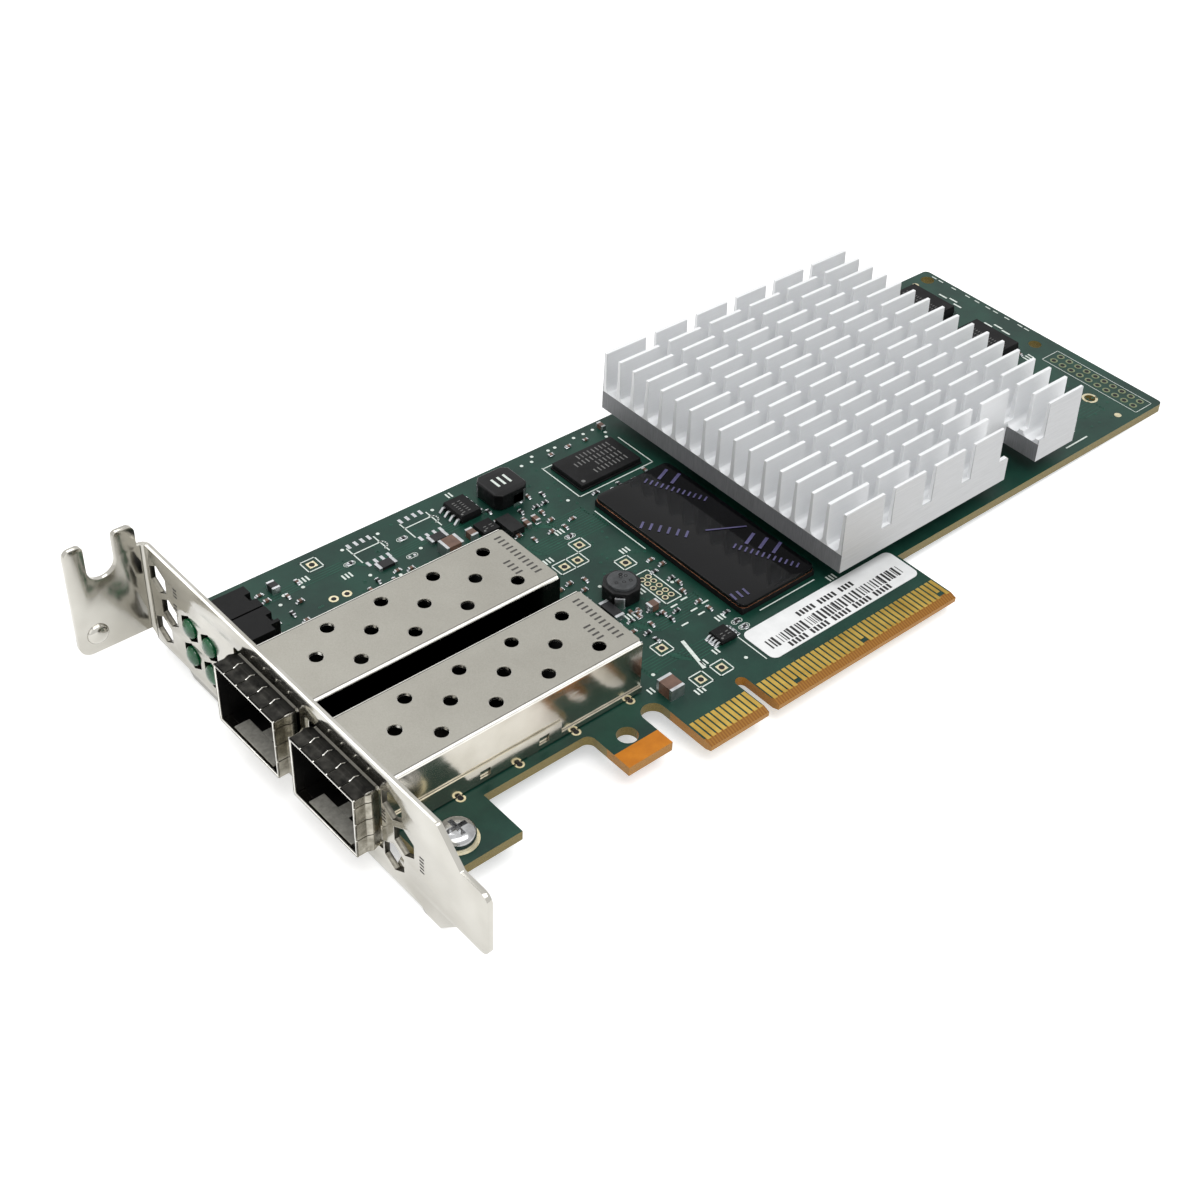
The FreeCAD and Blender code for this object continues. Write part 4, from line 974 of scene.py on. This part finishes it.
def cage_cover(number, start):
    low, high = box_of("cage_cover_%d" % number)
    back, nose, top, end = high.x, low.x, high.z, high.y
    thin, bend_radius = 0.25, 0.42
    work = bmesh.new()
    openings = vent_middles(back, (start + end) / 2)
    lid = [eased_path([(nose, start + bend_radius, 0), (back, start + bend_radius, 0.5),
                       (back, end - bend_radius, 0.5), (nose, end - bend_radius, 0)])]
    lid += [circle(x, y, 1.06, 32) for x, y in openings]
    cut_sheet(work, lid, thin, 0.07, raised(z=top - thin / 2), 0)
    for x, y in openings:
        vent_lip(work, x, y, top)
    # hair-wide seams beside the folds, painted dark as shade
    for y in (start + bend_radius + 0.05, end - bend_radius - 0.05):
        stroke(work, [(nose + 0.1, y), (back - 0.5, y)], 0.09, top + 0.006, False, 2)
    for edge, out in ((start, -1), (end, 1)):
        arc = [(bend_radius, t) for t in range(0, 91, 18)]
        arc += [(bend_radius - thin, t) for t in range(90, -1, -18)]
        section = [(nose, edge - out * (bend_radius - radius * math.cos(math.radians(t))),
                    top - bend_radius + radius * math.sin(math.radians(t))) for radius, t in arc]
        # the quarter-round fold, painted bright as a highlight
        swept(work, section, (back - nose - 0.35, 0, 0), 3)
        wall = [(nose, -0.3, 0), (-54.9, -0.3, 0), (-54.9, 0.35, 0), (back, 0.35, 0.3),
                (back, top - bend_radius, 0), (nose, top - bend_radius, 0)]
        cut_sheet(work, [eased_path(wall)], thin, 0.05, raised(y=edge - out * thin / 2) @ ALONG, 1)
    rear = [(start + 0.75, 0.35, 0.2), (end - 0.75, 0.35, 0.2), (end - 0.75, top - 0.35, 0.4),
            (start + 0.75, top - 0.35, 0.4)]
    cut_sheet(work, [eased_path(rear)], thin, 0.05, raised(x=back - thin / 2) @ UPRIGHT, 1)
    bmesh.ops.recalc_face_normals(work, faces=work.faces)
    # inner faces are painted near black as shade
    for face in work.faces:
        at = face.calc_center_median()
        inside = start + 0.15 < at.y < end - 0.15 and at.z < top - 0.15 and at.x < back - 0.15
        if inside and not any(math.hypot(at.x - x, at.y - y) < 1.2 for x, y in openings):
            face.material_index = 2
    return made_piece("cage_lid_%d" % number, work, [cage_top, cage_side, painted_inside_shade, painted_rim_highlight],
                      ["cage_cover_%d" % number], 20)


for number, start in enumerate(cage_starts, start=1):
    cage_cover(number, start)

# %% [markdown]
# ## The spring collars
# The collar is a strip of spring sheet bent round the mouth. Its rear part is slit into fingers that
# bow outwards and press on the bracket's window. Seen from above it looks nearly black with bright
# lines, because the bow mirrors the dark side of the room: the top fingers are painted near black as
# that reflection, the side fingers are plain bright nickel, and the rolled edge and the cut lips are
# painted bright as highlights.

# %% Collars
profile = [(0.0, 0.0), (1.55, 0.0), (1.75, 0.03), (2.05, 0.2), (2.35, 0.32), (2.65, 0.22),
           (3.0, 0.08), (3.48, 0.0)]                        # along the card, out from the cage


def finger_runs(low, high, pitch=2.93, gap=0.16):
    """Ends of the fingers along one side, with a narrow slit between neighbours."""
    cuts, place = [], low + pitch
    while place < high - 0.8:
        cuts.append(place)
        place += pitch
    edges = [low] + cuts + [high]
    return [(a + (gap / 2 if a > low else 0), b - (gap / 2 if b < high else 0))
            for a, b in zip(edges[:-1], edges[1:])]


def spring_collar(number, start):
    x0, spring = box_of("emi_collar_%d" % number)[0].x, 0.15
    near, far = start, start + cage_width
    floor, top = -0.6, cage_one[1].z
    work = bmesh.new()

    def finger(run, base, out, upright, finish_number):
        inner = [(x0 + dx, base + out * up) for dx, up in profile]
        outer = [(x, a + out * spring) for x, a in reversed(inner)]
        section = [(x, a, run[0]) if upright else (x, run[0], a) for x, a in inner + outer]
        reach = run[1] - run[0]
        swept(work, section, (0, 0, reach) if upright else (0, reach, 0), finish_number)

    # the top fingers are painted near black as a reflection; the others are plain bright nickel
    for run in finger_runs(near, far):
        finger(run, top, 1, False, 0)
        finger(run, floor, -1, False, 1)
    for run in finger_runs(floor, top):
        finger(run, near, -1, True, 1)
        finger(run, far, 1, True, 1)
    # the rolled front edge, a thin frame round the mouth, painted bright as a highlight
    roll = 0.28
    for y0, y1, z0, z1 in ((near - spring, far + spring, top - roll, top + spring),
                           (near - spring, far + spring, floor - spring, floor + roll),
                           (near - spring, near + roll, floor + roll, top - roll),
                           (far - roll, far + spring, floor + roll, top - roll)):
        eased_block(work, (x0, y0, z0), (x0 + 0.22, y1, z1), 0.06, 2, 2)
    # each cut's lip, a strip painted bright as a highlight that follows the bow of its finger
    lip = [(x0 + dx, top + up + spring + 0.03) for dx, up in profile if 1.5 < dx < 3.1]
    for y0, _ in finger_runs(near, far)[1:]:
        outline = [(x, y0 - 0.02, z) for x, z in lip]
        outline += [(x, y0 - 0.02, z - 0.1) for x, z in reversed(lip)]
        swept(work, outline, (0, 0.13, 0), 2)
    bmesh.ops.recalc_face_normals(work, faces=work.faces)
    # inner faces are painted near black as shade
    for face in work.faces:
        at = face.calc_center_median()
        inner = near + 0.02 < at.y < far - 0.02 and floor + 0.02 < at.z < top - 0.02
        if inner and face.material_index in (0, 1):
            face.material_index = 3
    return made_piece("spring_collar_%d" % number, work,
                      [collar_painted_reflection, collar_bright, painted_rim_highlight, painted_inside_shade],
                      ["emi_collar_%d" % number], 25)


for number, start in enumerate(cage_starts, start=1):
    spring_collar(number, start)

# %% [markdown]
# ## Inside the mouths
# Through the mouth one sees the floor sheet's front lip, a small locking tongue that a transceiver
# snaps over, two bright springs at one side, and beyond them a black moulded receptacle. Thin
# sheets painted dark as shade line the walls and floor inside.

# %% Mouth details
def mouth_details(start):
    """Floor lip, locking tongue and side springs of one mouth; behind them a lining painted dark as
    shade.
    """
    work = bmesh.new()
    nose = cage_one[0].x
    near, far = start + 0.3, start + cage_width - 0.3
    middle, back = (near + far) / 2, nose + 30
    eased_block(work, (nose + 0.35, near + 1.6, -0.34), (nose + 2.7, far - 2.4, -0.24), 0.03, 0)
    eased_block(work, (nose + 2.7, middle - 1.2, -0.28), (nose + 4.4, middle + 1.2, -0.2), 0.03, 0)
    for height in (1.0, 3.4):
        spring = [(nose + 1.6, near + 0.15, height), (nose + 5.2, near + 1.2, height),
                  (nose + 5.2, near + 1.28, height), (nose + 1.6, near + 0.25, height)]
        swept(work, spring, (0, 0, 0.12), 0)
    # lining: two walls and a floor a little inside the sheet, painted dark as shade
    for low, high in (((nose + 1.4, near + 0.02, -0.3), (back, near + 0.06, 9.1)),
                      ((nose + 1.4, far - 0.06, -0.3), (back, far - 0.02, 9.1)),
                      ((nose + 1.2, near + 0.1, -0.36), (back, far - 0.1, -0.3))):
        eased_block(work, low, high, 0, 1)
    return work


mouth_lip = flat_finish("mouth_lip", (150, 148, 140), (182, 180, 172), (0.35, 0.55))
for number, start in enumerate(cage_starts, start=1):
    made_piece("mouth_%d" % number, mouth_details(start), [mouth_lip, painted_inside_shade])

# %% [markdown]
# ## Marks on the cages
# Each real cage has numbers stamped near its back. Plain dark bars of the same size stand for them,
# drawn as flat strips just above the lid.

# %% Plain bars near the back of each lid
def cage_marks():
    work = bmesh.new()
    for start in cage_starts:
        for row, count, first in ((1.75, 11, 12.4), (4.1, 4, 7.2)):
            bars(work, (cage_one[1].x - row - 0.45, start + first), (0, -0.95), count, (0.9, 0), 0.34,
                 cage_one[1].z + 0.01)
    return made_piece("cage_marks", work, [dark_ink])


cage_marks()

# %% [markdown]
# ## The heat sink
# The sink is pressed through a die, so its section is the same all along. It is then sawn across
# five times, and a notch is milled into one long side. The fins are thinner at the tip, and the
# channels have round bottoms. The base is swept from that section; each fin stands on it as six
# short blades with eased edges. Dies and saws leave fine lines: along the length on the fins,
# upright on the sawn ends.

# %% Aluminium finishes
def pressed_aluminium():
    """Clear-anodised aluminium: die lines run along X, saw marks run upright on the cut ends."""
    material, tree, shader = finish("sink_aluminium", Metallic=0.5)
    facing = add(tree, "SeparateXYZ", {0: add(tree, "NewGeometry").outputs["Normal"]}).outputs[0]
    across, up = add(tree, "SeparateXYZ", {0: millimetres(tree)}).outputs[1:3]
    sawn = maths(tree, "GREATER_THAN", maths(tree, "ABSOLUTE", facing), 0.7)
    marks = mixed(tree, sawn, cloud(tree, millimetres(tree, (0.04, 1, 1)), 0.16, 2.0, 0.7),
                  cloud(tree, millimetres(tree, (1, 1, 0.05)), 0.14, 2.0, 0.7))
    slow = cloud(tree, millimetres(tree), 12.0)
    tone = mixed(tree, slow, light(229, 230, 231), light(240, 241, 242))
    lined = mixed(tree, marks, light(212, 213, 214), light(244, 245, 246))
    painted_dark_ends = mixed(tree, marks, light(106, 107, 109), light(150, 151, 153))
    painted_outer_shade = mixed(tree, marks, light(180, 181, 182), light(209, 210, 211))
    # painted light and shade: the base's sawn ends are painted dark as a reflection of the dark card, and
    # the two outer faces greyer than the fins between them, which are painted lighter
    low = maths(tree, "MULTIPLY", sawn, maths(tree, "LESS_THAN", up, sink_low.z + 3.4))
    outer = maths(tree, "MAXIMUM", maths(tree, "LESS_THAN", across, sink_low.y + 0.25),
                  maths(tree, "GREATER_THAN", across, sink_high.y - 0.25))
    flank = mixed(tree, outer, mixed(tree, 0.35, tone, lined), painted_outer_shade)
    coated(tree, shader, mixed(tree, low, flank, painted_dark_ends), marks, (0.5, 0.68), 0.012)
    return material


aluminium = pressed_aluminium()
print("aluminium ready")

# %% Sizes of the sink
fin_pitch, fin_root, fin_tip, channel_corner = 3.42, 0.9, 0.6, 0.85
fin_count = round((sink_high.y - sink_low.y - fin_root) / fin_pitch) + 1
channel_floor = sink_low.z + 3.45
saw_floor = channel_floor + 0.85
saw_step, saw_width = 9.35, 2.25
sink_middle = (sink_low.x + sink_high.x) / 2
notch_left = sink_middle + saw_step + saw_width / 2
notch_right = notch_left + saw_step - saw_width + 0.9
notched_fins = 2
print("fins", fin_count, "notch", round(notch_left, 1), round(notch_right, 1))

# %% Sink base and blades
def comb_section(first, x):
    """Comb below the saw cuts, from fin number first to the back."""
    def rounded(y, side, turns):
        return [(y + side * channel_corner * (1 - math.cos(math.radians(t))),
                 channel_floor + channel_corner * (1 - math.sin(math.radians(t)))) for t in turns]

    start = sink_low.y + first * fin_pitch
    points = [(start, sink_low.z), (start, channel_floor)]
    for k in range(first, fin_count):
        y = sink_low.y + k * fin_pitch
        points += rounded(y, -1, (90, 60, 30, 0)) if k > first else [(y, saw_floor)]
        if k < fin_count - 1:
            points += rounded(y + fin_root, 1, (0, 30, 60, 90))
    points += [(sink_high.y, saw_floor), (sink_high.y, sink_low.z)]
    return [(x, y, z) for y, z in points]


def blade(work, x0, x1, y):
    """One blade of a fin, a little thinner at its tip, with eased edges."""
    lean = (fin_root - fin_tip) / 2
    verts = []
    for inset, z in ((0, saw_floor), (lean, sink_high.z)):
        near, far = y + inset, y + fin_root - inset
        verts += [work.verts.new((a, b, z)) for a, b in rectangle(x0, x1, near, far)]
    faces = [work.faces.new([verts[k] for k in side]) for side in
             ((4, 5, 6, 7), (0, 1, 5, 4), (1, 2, 6, 5), (2, 3, 7, 6), (3, 0, 4, 7))]
    rims = [edge for edge in {e for f in faces for e in f.edges} if len(edge.link_faces) == 2]
    bmesh.ops.bevel(work, geom=rims, offset=0.06, segments=1, affect="EDGES")


def pressed_sink():
    left, right = sink_low.x, sink_high.x
    work = bmesh.new()
    for x0, x1, first in ((left, notch_left, 0), (notch_left, notch_right, notched_fins),
                          (notch_right, right, 0)):
        swept(work, comb_section(first, x0), (x1 - x0, 0, 0))
    cuts = [sink_middle + k * saw_step for k in range(-2, 3)]
    edges = [left] + [x + side * saw_width / 2 for x in cuts for side in (-1, 1)] + [right]
    for k in range(fin_count):
        for x0, x1 in zip(edges[::2], edges[1::2]):
            if k < notched_fins and x1 > notch_left + 0.1 and x0 < notch_right - 0.1:
                x0 = max(x0, notch_right)
            if x1 - x0 > 0.5:
                blade(work, x0, x1, sink_low.y + k * fin_pitch)
    bmesh.ops.recalc_face_normals(work, faces=work.faces)
    return made_piece("pressed_sink", work, [aluminium], ["heat_sink"], 30)


pressed_sink()

# %% [markdown]
# ## Mouldings, ceramics, film and paper
# Chips are matte black epoxy with a fine moulded grain. The large package beside the sink is covered
# by copper foil under a dark glossy film, and the copper shows as a thin line round its edge.

# %% Plain finishes with grain
def solid_finish(name, dark, bright, roughness, patch_size=2.0, grain=0.15, relief=0.006, gloss=0.4):
    """Non-metal with patchy tone and a fine moulded grain."""
    return grained(name, dark, bright, roughness, patch_size, (grain, 3.0, 0.6), relief,
                   Specular_IOR_Level=gloss)


epoxy = solid_finish("package_epoxy", (12, 12, 13), (22, 22, 23), (0.5, 0.68), gloss=0.16)
moulding = solid_finish("black_moulding", (6, 6, 7), (13, 13, 14), (0.4, 0.55), gloss=0.15)
pad_grey = solid_finish("soft_pad", (120, 124, 130), (138, 142, 148), (0.7, 0.9))
film = solid_finish("dark_film", (7, 7, 8), (13, 13, 15), (0.06, 0.11), 8.0, 1.2, 0.003, 0.2)
foil = metal("copper_foil", (128, 84, 64), (176, 124, 96), (0.25, 0.4), 2.0)
paper = solid_finish("label_paper", (224, 225, 225), (233, 234, 234), (0.45, 0.6), gloss=0.2)
choke_black = solid_finish("choke_composite", (10, 10, 11), (20, 20, 21), (0.25, 0.4),
                           gloss=0.2)
ferrite = solid_finish("ferrite_grey", (12, 12, 13), (26, 26, 27), (0.3, 0.5), gloss=0.2)
ferrite_top = solid_finish("ferrite_core", (38, 40, 42), (64, 66, 68), (0.35, 0.55), 1.2)
ceramic = solid_finish("ceramic_brown", (84, 62, 52), (116, 88, 74), (0.3, 0.45))
resistor_coat = solid_finish("resistor_coat", (20, 20, 22), (34, 34, 36), (0.25, 0.4),
                             gloss=0.3)
lens_green = solid_finish("lens_green", (12, 76, 44), (22, 102, 60), (0.04, 0.09), gloss=0.6)
for names, material in (
        (["controller_chip", "regulator_chip", "gate_driver", "bus_switch", "flash_memory",
          "clock_buffer", "covered_package", "memory_chip"], epoxy),
        (["led_housing", "host_connector_1", "host_connector_2"], moulding),
        (["thermal_pad"], pad_grey), (["heat_spreader"], film), (["label_sticker"], paper),
        (["power_choke"], choke_black), (["drum_shield", "filter_choke"], ferrite),
        (["drum_core"], ferrite_top), (["resistors"], resistor_coat),
        (["bulk_capacitors", "small_capacitors", "underside_capacitors"], ceramic)):
    dress(names, material)
print("finishes:", len(bpy.data.materials))

# %% Film-covered package
def covered_package():
    """Black body, a copper line round it, and the film on top with its own thin rim."""
    work = bmesh.new()
    (x0, y0), (x1, y1) = slab_low.xy, slab_high.xy
    eased_block(work, (x0 + 0.1, y0 + 0.1, 0), (x1 - 0.1, y1 - 0.1, 1.15), 0.1, 0, 2)
    cut_sheet(work, [soft_rectangle(x0, x1, y0, y1, 1.1)], 0.07, 0.02, raised(z=1.22), 1)
    cut_sheet(work, [soft_rectangle(x0 + 0.05, x1 - 0.05, y0 + 0.05, y1 - 0.05, 1.1)], 0.62, 0.16,
              raised(z=1.6), 2, 2)
    return made_piece("filmed_package", work, [epoxy, foil, film],
                      ["covered_package", "heat_spreader"], 18)


covered_package()

# %% Faint printing on the film
def film_bars():
    """The real film is printed; here plain slanting bars in faint violet grey stand for it."""
    work = bmesh.new()
    z, rim = slab_high.z + 0.008, 0.5
    rows = (((21.2, 48.4), (0.38, -0.92), 4, 2.3, 2.5, 0.55),
            ((18.6, 49.0), (0.42, -0.9), 12, 0.95, 0.9, 0.3),
            ((20.8, 27.6), (0.38, -0.92), 4, 2.3, 2.5, 0.55),
            ((18.4, 28.0), (0.42, -0.9), 12, 0.95, 0.9, 0.3),
            ((10.4, 40.6), (0.55, -0.83), 6, 1.45, 1.3, 0.4),
            ((10.2, 18.9), (0.97, -0.1), 3, 1.2, 1.2, 0.4))
    for (x, y), (dx, dy), count, step, tall, wide in rows:
        for k in range(count):
            a, b = x + k * step * dx, y + k * step * dy
            c, d = a - tall * dy, b + tall * dx
            inside = max(a, c) < slab_high.x - rim and max(b, d) < slab_high.y - rim
            if inside and slab_low.y + rim < min(b, d):
                stroke(work, [(a, b), (c, d)], wide, z)
    stroke(work, [(18.0, 33.8), (23.6, 30.7)], 0.28, z)
    return made_piece("film_bars", work, [film_ink])


film_bars()

# %% Memory package
def memory_package():
    """Thin substrate, moulded body, a pin-one dot and four rows of bars for the printing."""
    work = bmesh.new()
    (x0, y0), (x1, y1) = memory_low.xy, memory_high.xy
    base = 0.32
    eased_block(work, (x0, y0, 0), (x1, y1, base), 0.04, 0)
    eased_block(work, (x0 + 0.15, y0 + 0.15, base), (x1 - 0.15, y1 - 0.15, memory_high.z), 0.12, 0, 2)
    top = memory_high.z + 0.01
    washer(work, x0 + 1.1, y0 + 1.0, 0, 0.35, top, 20, 1)
    for row, count in enumerate((9, 11, 7, 9)):
        bars(work, (x1 - 1.9, y1 - 1.92 - row * 1.5), (-0.8, 0), count, (0, 0.84), 0.24, top, 1)
    return made_piece("memory_package", work, [epoxy, chip_ink], ["memory_chip"], 30)


memory_package()

# %% [markdown]
# ## The label
# A white paper label lies between the slab and the gold contacts. The real one carries words and a
# code, so plain bars of the same weight stand there: a row above, a striped field, a row below.

# %% Label
def paper_label():
    low, high = box_of("label_sticker")
    work = bmesh.new()
    cut_sheet(work, [soft_rectangle(low.x, high.x, low.y, high.y, 1.2)], high.z, 0.02,
              raised(z=high.z / 2), 0)
    z, margin = high.z + 0.012, 1.7
    stripes = random.Random(3)
    x = low.x + margin
    while x < high.x - margin:
        wide = stripes.choice((0.16, 0.3, 0.3, 0.46))
        stroke(work, [(x, low.y + 1.9), (x, low.y + 3.6)], wide, z, False, 1)
        x += wide + stripes.choice((0.2, 0.3, 0.42))
    step, word = 0.76, 6                                    # five bars and a gap for a word
    for start, count, y in ((10.0, 16, 4.5), (4.4, 30, 0.45)):
        for k in [k for k in range(count) if k % word != word - 1]:
            a, b = low.x + start + k * step, low.y + y + 0.2
            stroke(work, [(a, b), (a, b + 0.65)], 0.46, z, False, 1)
    return made_piece("paper_label", work, [paper, label_ink], ["label_sticker"], 30)


paper_label()

# %% [markdown]
# ## Wound parts
# Two chokes stand out. One is a square pressed block with cut corners, the other a round core in an
# eight-sided ferrite ring, with a pair of bright pins at each of two opposite corners.

# %% Power choke
def power_choke():
    """Square pressed block with cut corners, a terminal at two of them, and a plain mark on top."""
    low, high = box_of("power_choke")
    work = bmesh.new()
    cut, corner = 0.95, 0.3
    outline = []
    for x, y, along, up in ((low.x, low.y, 1, 1), (high.x, low.y, -1, 1), (high.x, high.y, -1, -1),
                            (low.x, high.y, 1, -1)):
        pair = [(x, y + up * cut, corner), (x + along * cut, y, corner)]
        outline += pair if along == up else pair[::-1]
    cut_sheet(work, [eased_path(outline, 3)], high.z - 0.1, 0.3, raised(z=high.z / 2 + 0.05), 0, 3)
    terminal = cut + 0.35
    for x, y, side in ((high.x, low.y, 1), (low.x, high.y, -1)):
        inner = [(x - side * terminal, y, 0.02), (x, y + side * terminal, 0.02)]
        outer = [(a + side * 0.16, b - side * 0.16, c) for a, b, c in reversed(inner)]
        swept(work, inner + outer, (0, 0, 2.5), 2)
    bars(work, (low.x + 2.1, low.y + 2.4), (1.15, 0), 3, (0, high.y - low.y - 4.6), 0.42,
         high.z + 0.012, 1)
    return made_piece("pressed_choke", work, [choke_black, white_ink, tin],
                      ["power_choke"], 30)


power_choke()

# %% Drum choke
def drum_choke():
    """Eight-sided ring with a round core in it, and a pair of pins at two opposite corners."""
    low, high = box_of("drum_shield")
    core_top = box_of("drum_core")[1].z
    x, y = (low.x + high.x) / 2, (low.y + high.y) / 2
    reach = ((high.x - low.x) / 2 - 0.2) / math.cos(math.pi / 8) * 0.985
    work = bmesh.new()
    ring = [(a, b, 0.5) for a, b in circle(x, y, reach, 8, 22.5)]
    cut_sheet(work, [eased_path(ring, 3)], high.z, 0.22, raised(z=high.z / 2), 0, 2)
    turned(work, [(high.z - 0.3, 2.34), (high.z + 0.02, 2.36), (high.z + 0.22, 2.3),
                  (core_top - 0.06, 2.22), (core_top, 2.1)], (x, y, 0), 40, "Z", 1)
    for side in (-2.12, 2.12):
        for across in (-0.434, 0.434):
            turned(work, [(0.02, 0.3), (0.25, 0.22), (1.7, 0.2), (1.85, 0.1)],
                   (x + side + across, y + side - across, 0), 12, "Z", 2)
    marks = random.Random(5)
    for _ in range(7):
        a, b = x + marks.uniform(-1.2, 1.2), y + marks.uniform(-1.2, 1.2)
        washer(work, a, b, 0.18, 0.3, core_top + 0.01, 12, 0)
    return made_piece("drum_choke", work, [ferrite, ferrite_top, tin],
                      ["drum_shield", "drum_core"], 30)


drum_choke()

# %% [markdown]
# ## Indicators
# Four light pipes end in domes in six-sided openings. They aren't lit, so their green is only the
# colour of the moulding. A ring painted dark as shade, just behind the strip, closes the gap round
# each pipe.

# %% Lenses
def light_pipe(number, low, high):
    """Domed end of one light pipe, turned about the card's length."""
    y, z = (low.y + high.y) / 2, (low.z + high.z) / 2
    reach, nose = (high.y - low.y) / 2, strip_face - low.x
    rings = [(strip_face - high.x, reach), (-0.05, reach)]
    rings += [(nose * math.sin(math.radians(t)), reach * math.cos(math.radians(t)))
              for t in (10, 25, 40, 55, 70, 84)]
    work = bmesh.new()
    turned(work, rings, (strip_face, y, z), 32, "X")
    return made_piece("light_pipe_%d" % number, work, [lens_green],
                      ["led_lens_%d" % number], 40)


def pipe_shade():
    """Rings painted dark as shade, just behind the strip."""
    work = bmesh.new()
    x = strip_face + sheet + 0.06
    for y, z in lens_places:
        outer, inner = [[work.verts.new((x, a, b)) for a, b in circle(y, z, radius, 24)]
                        for radius in (2.6, 1.66)]
        joined(work, outer, inner)
    return made_piece("pipe_shade", work, [moulding])


for number, (low, high) in enumerate(lens_boxes, start=1):
    light_pipe(number, low, high)
pipe_shade()

# %% [markdown]
# ## Small parts
# Chip capacitors and resistors are tiny blocks with metal ends, each in two small slopes of solder.
# The solids give the larger ones. The smallest, which only fill out the board, are added here as
# eased blocks with solder at both ends.

# %% Small parts and solder
def small_part(work, x, y, length, width, height, along_x, body):
    """Body, two ends and two slopes of solder."""
    def block(a0, a1, half, z1, finish_number, ease=0.03):
        low, high = (a0, -half), (a1, half)
        if not along_x:
            low, high = low[::-1], high[::-1]
        eased_block(work, (x + low[0], y + low[1], 0), (x + high[0], y + high[1], z1), ease,
                    finish_number)

    end, half = length / 2, width / 2
    cap, slope = length * 0.24, 0.28
    block(cap - end, end - cap, half, height * 0.97, body)
    for side in (-1, 1):
        block(*sorted((side * end, side * (end - cap))), half + 0.01, height, 2)
        block(*sorted((side * end, side * (end + slope))), half, height * 0.35, 3, 0.08)


def tiny_parts():
    """Scattered parts, never closer together than their own size."""
    work = bmesh.new()
    placed = random.Random(21)
    fields = [(-11.5, -3.0, 36.0, 40.0, 7), (-9.5, -3.5, 20.5, 24.5, 5), (6.4, 8.6, 26.0, 36.0, 6),
              (-9.0, 6.0, 49.5, 52.5, 8), (-30.0, -20.0, 55.2, 57.4, 5), (11.0, 23.5, 51.9, 53.6, 9),
              (-6.0, 3.6, 22.4, 25.2, 7), (-6.2, 0.0, 25.8, 28.8, 6), (-8.0, -5.0, 29.0, 35.0, 4),
              (-6.5, 5.5, 54.5, 62.5, 14), (-46.0, -36.0, 62.0, 65.5, 5), (6.4, 8.8, 18.6, 24.0, 4),
              (84.6, 92.0, 36.5, 40.5, 6), (97.0, 102.0, 38.0, 46.0, 6), (85.0, 91.0, 60.5, 66.5, 5),
              (-47.0, -37.0, 55.5, 60.0, 6)]
    taken = []
    for x0, x1, y0, y1, count in fields:
        for _ in range(count * 6):
            if count == 0:
                break
            x, y = placed.uniform(x0, x1), placed.uniform(y0, y1)
            if any(abs(x - a) < 1.7 and abs(y - b) < 1.5 for a, b in taken):
                continue
            taken.append((x, y))
            count -= 1
            small_part(work, x, y, 1.0, 0.52, placed.choice((0.34, 0.5)), placed.random() < 0.5,
                       placed.choice((0, 1)))
    return made_piece("tiny_parts", work, [ceramic, resistor_coat, tin, solder_shine])


tiny_parts()

# %% Solder at leads and end caps
def solder_slopes():
    """A low bright slope at the foot of every lead and end cap of the solids."""
    work = bmesh.new()
    cell, smallest, largest = 1.1, 0.1, 3
    for name in [n for n in solids if n.endswith("_leads") or n.endswith("_ends")]:
        feet = {}
        for p in [vert.co / mm for vert in solids[name].data.vertices]:
            if -0.2 < p.z < 0.02:
                feet.setdefault((round(p.x / cell), round(p.y / cell)), []).append(p)
        for points in feet.values():
            xs, ys = [p.x for p in points], [p.y for p in points]
            x0, x1, y0, y1 = min(xs), max(xs), min(ys), max(ys)
            if smallest <= min(x1 - x0, y1 - y0) and max(x1 - x0, y1 - y0) <= largest:
                eased_block(work, (x0 - 0.14, y0 - 0.1, 0.0), (x1 + 0.14, y1 + 0.1, 0.16), 0.06, 0)
    return made_piece("solder_slopes", work, [solder_shine])


solder_slopes()

# %% Pin-one dots and bars on the larger packages
def package_marks():
    work = bmesh.new()
    step = 0.55
    for name in ("gate_driver", "bus_switch", "flash_memory", "clock_buffer", "regulator_chip"):
        low, high = box_of(name)
        z = high.z + 0.01
        washer(work, low.x + 0.55, low.y + 0.6, 0, 0.2, z, 16)
        count = int((high.y - low.y - 1.4) / step)
        for row in range(max(2, int((high.x - low.x) / 1.6))):
            bars(work, (low.x + 0.9 + row * 1.05, low.y + 0.9), (0, step), count, (0.4, 0), 0.14, z)
    return made_piece("package_marks", work, [chip_ink])


package_marks()
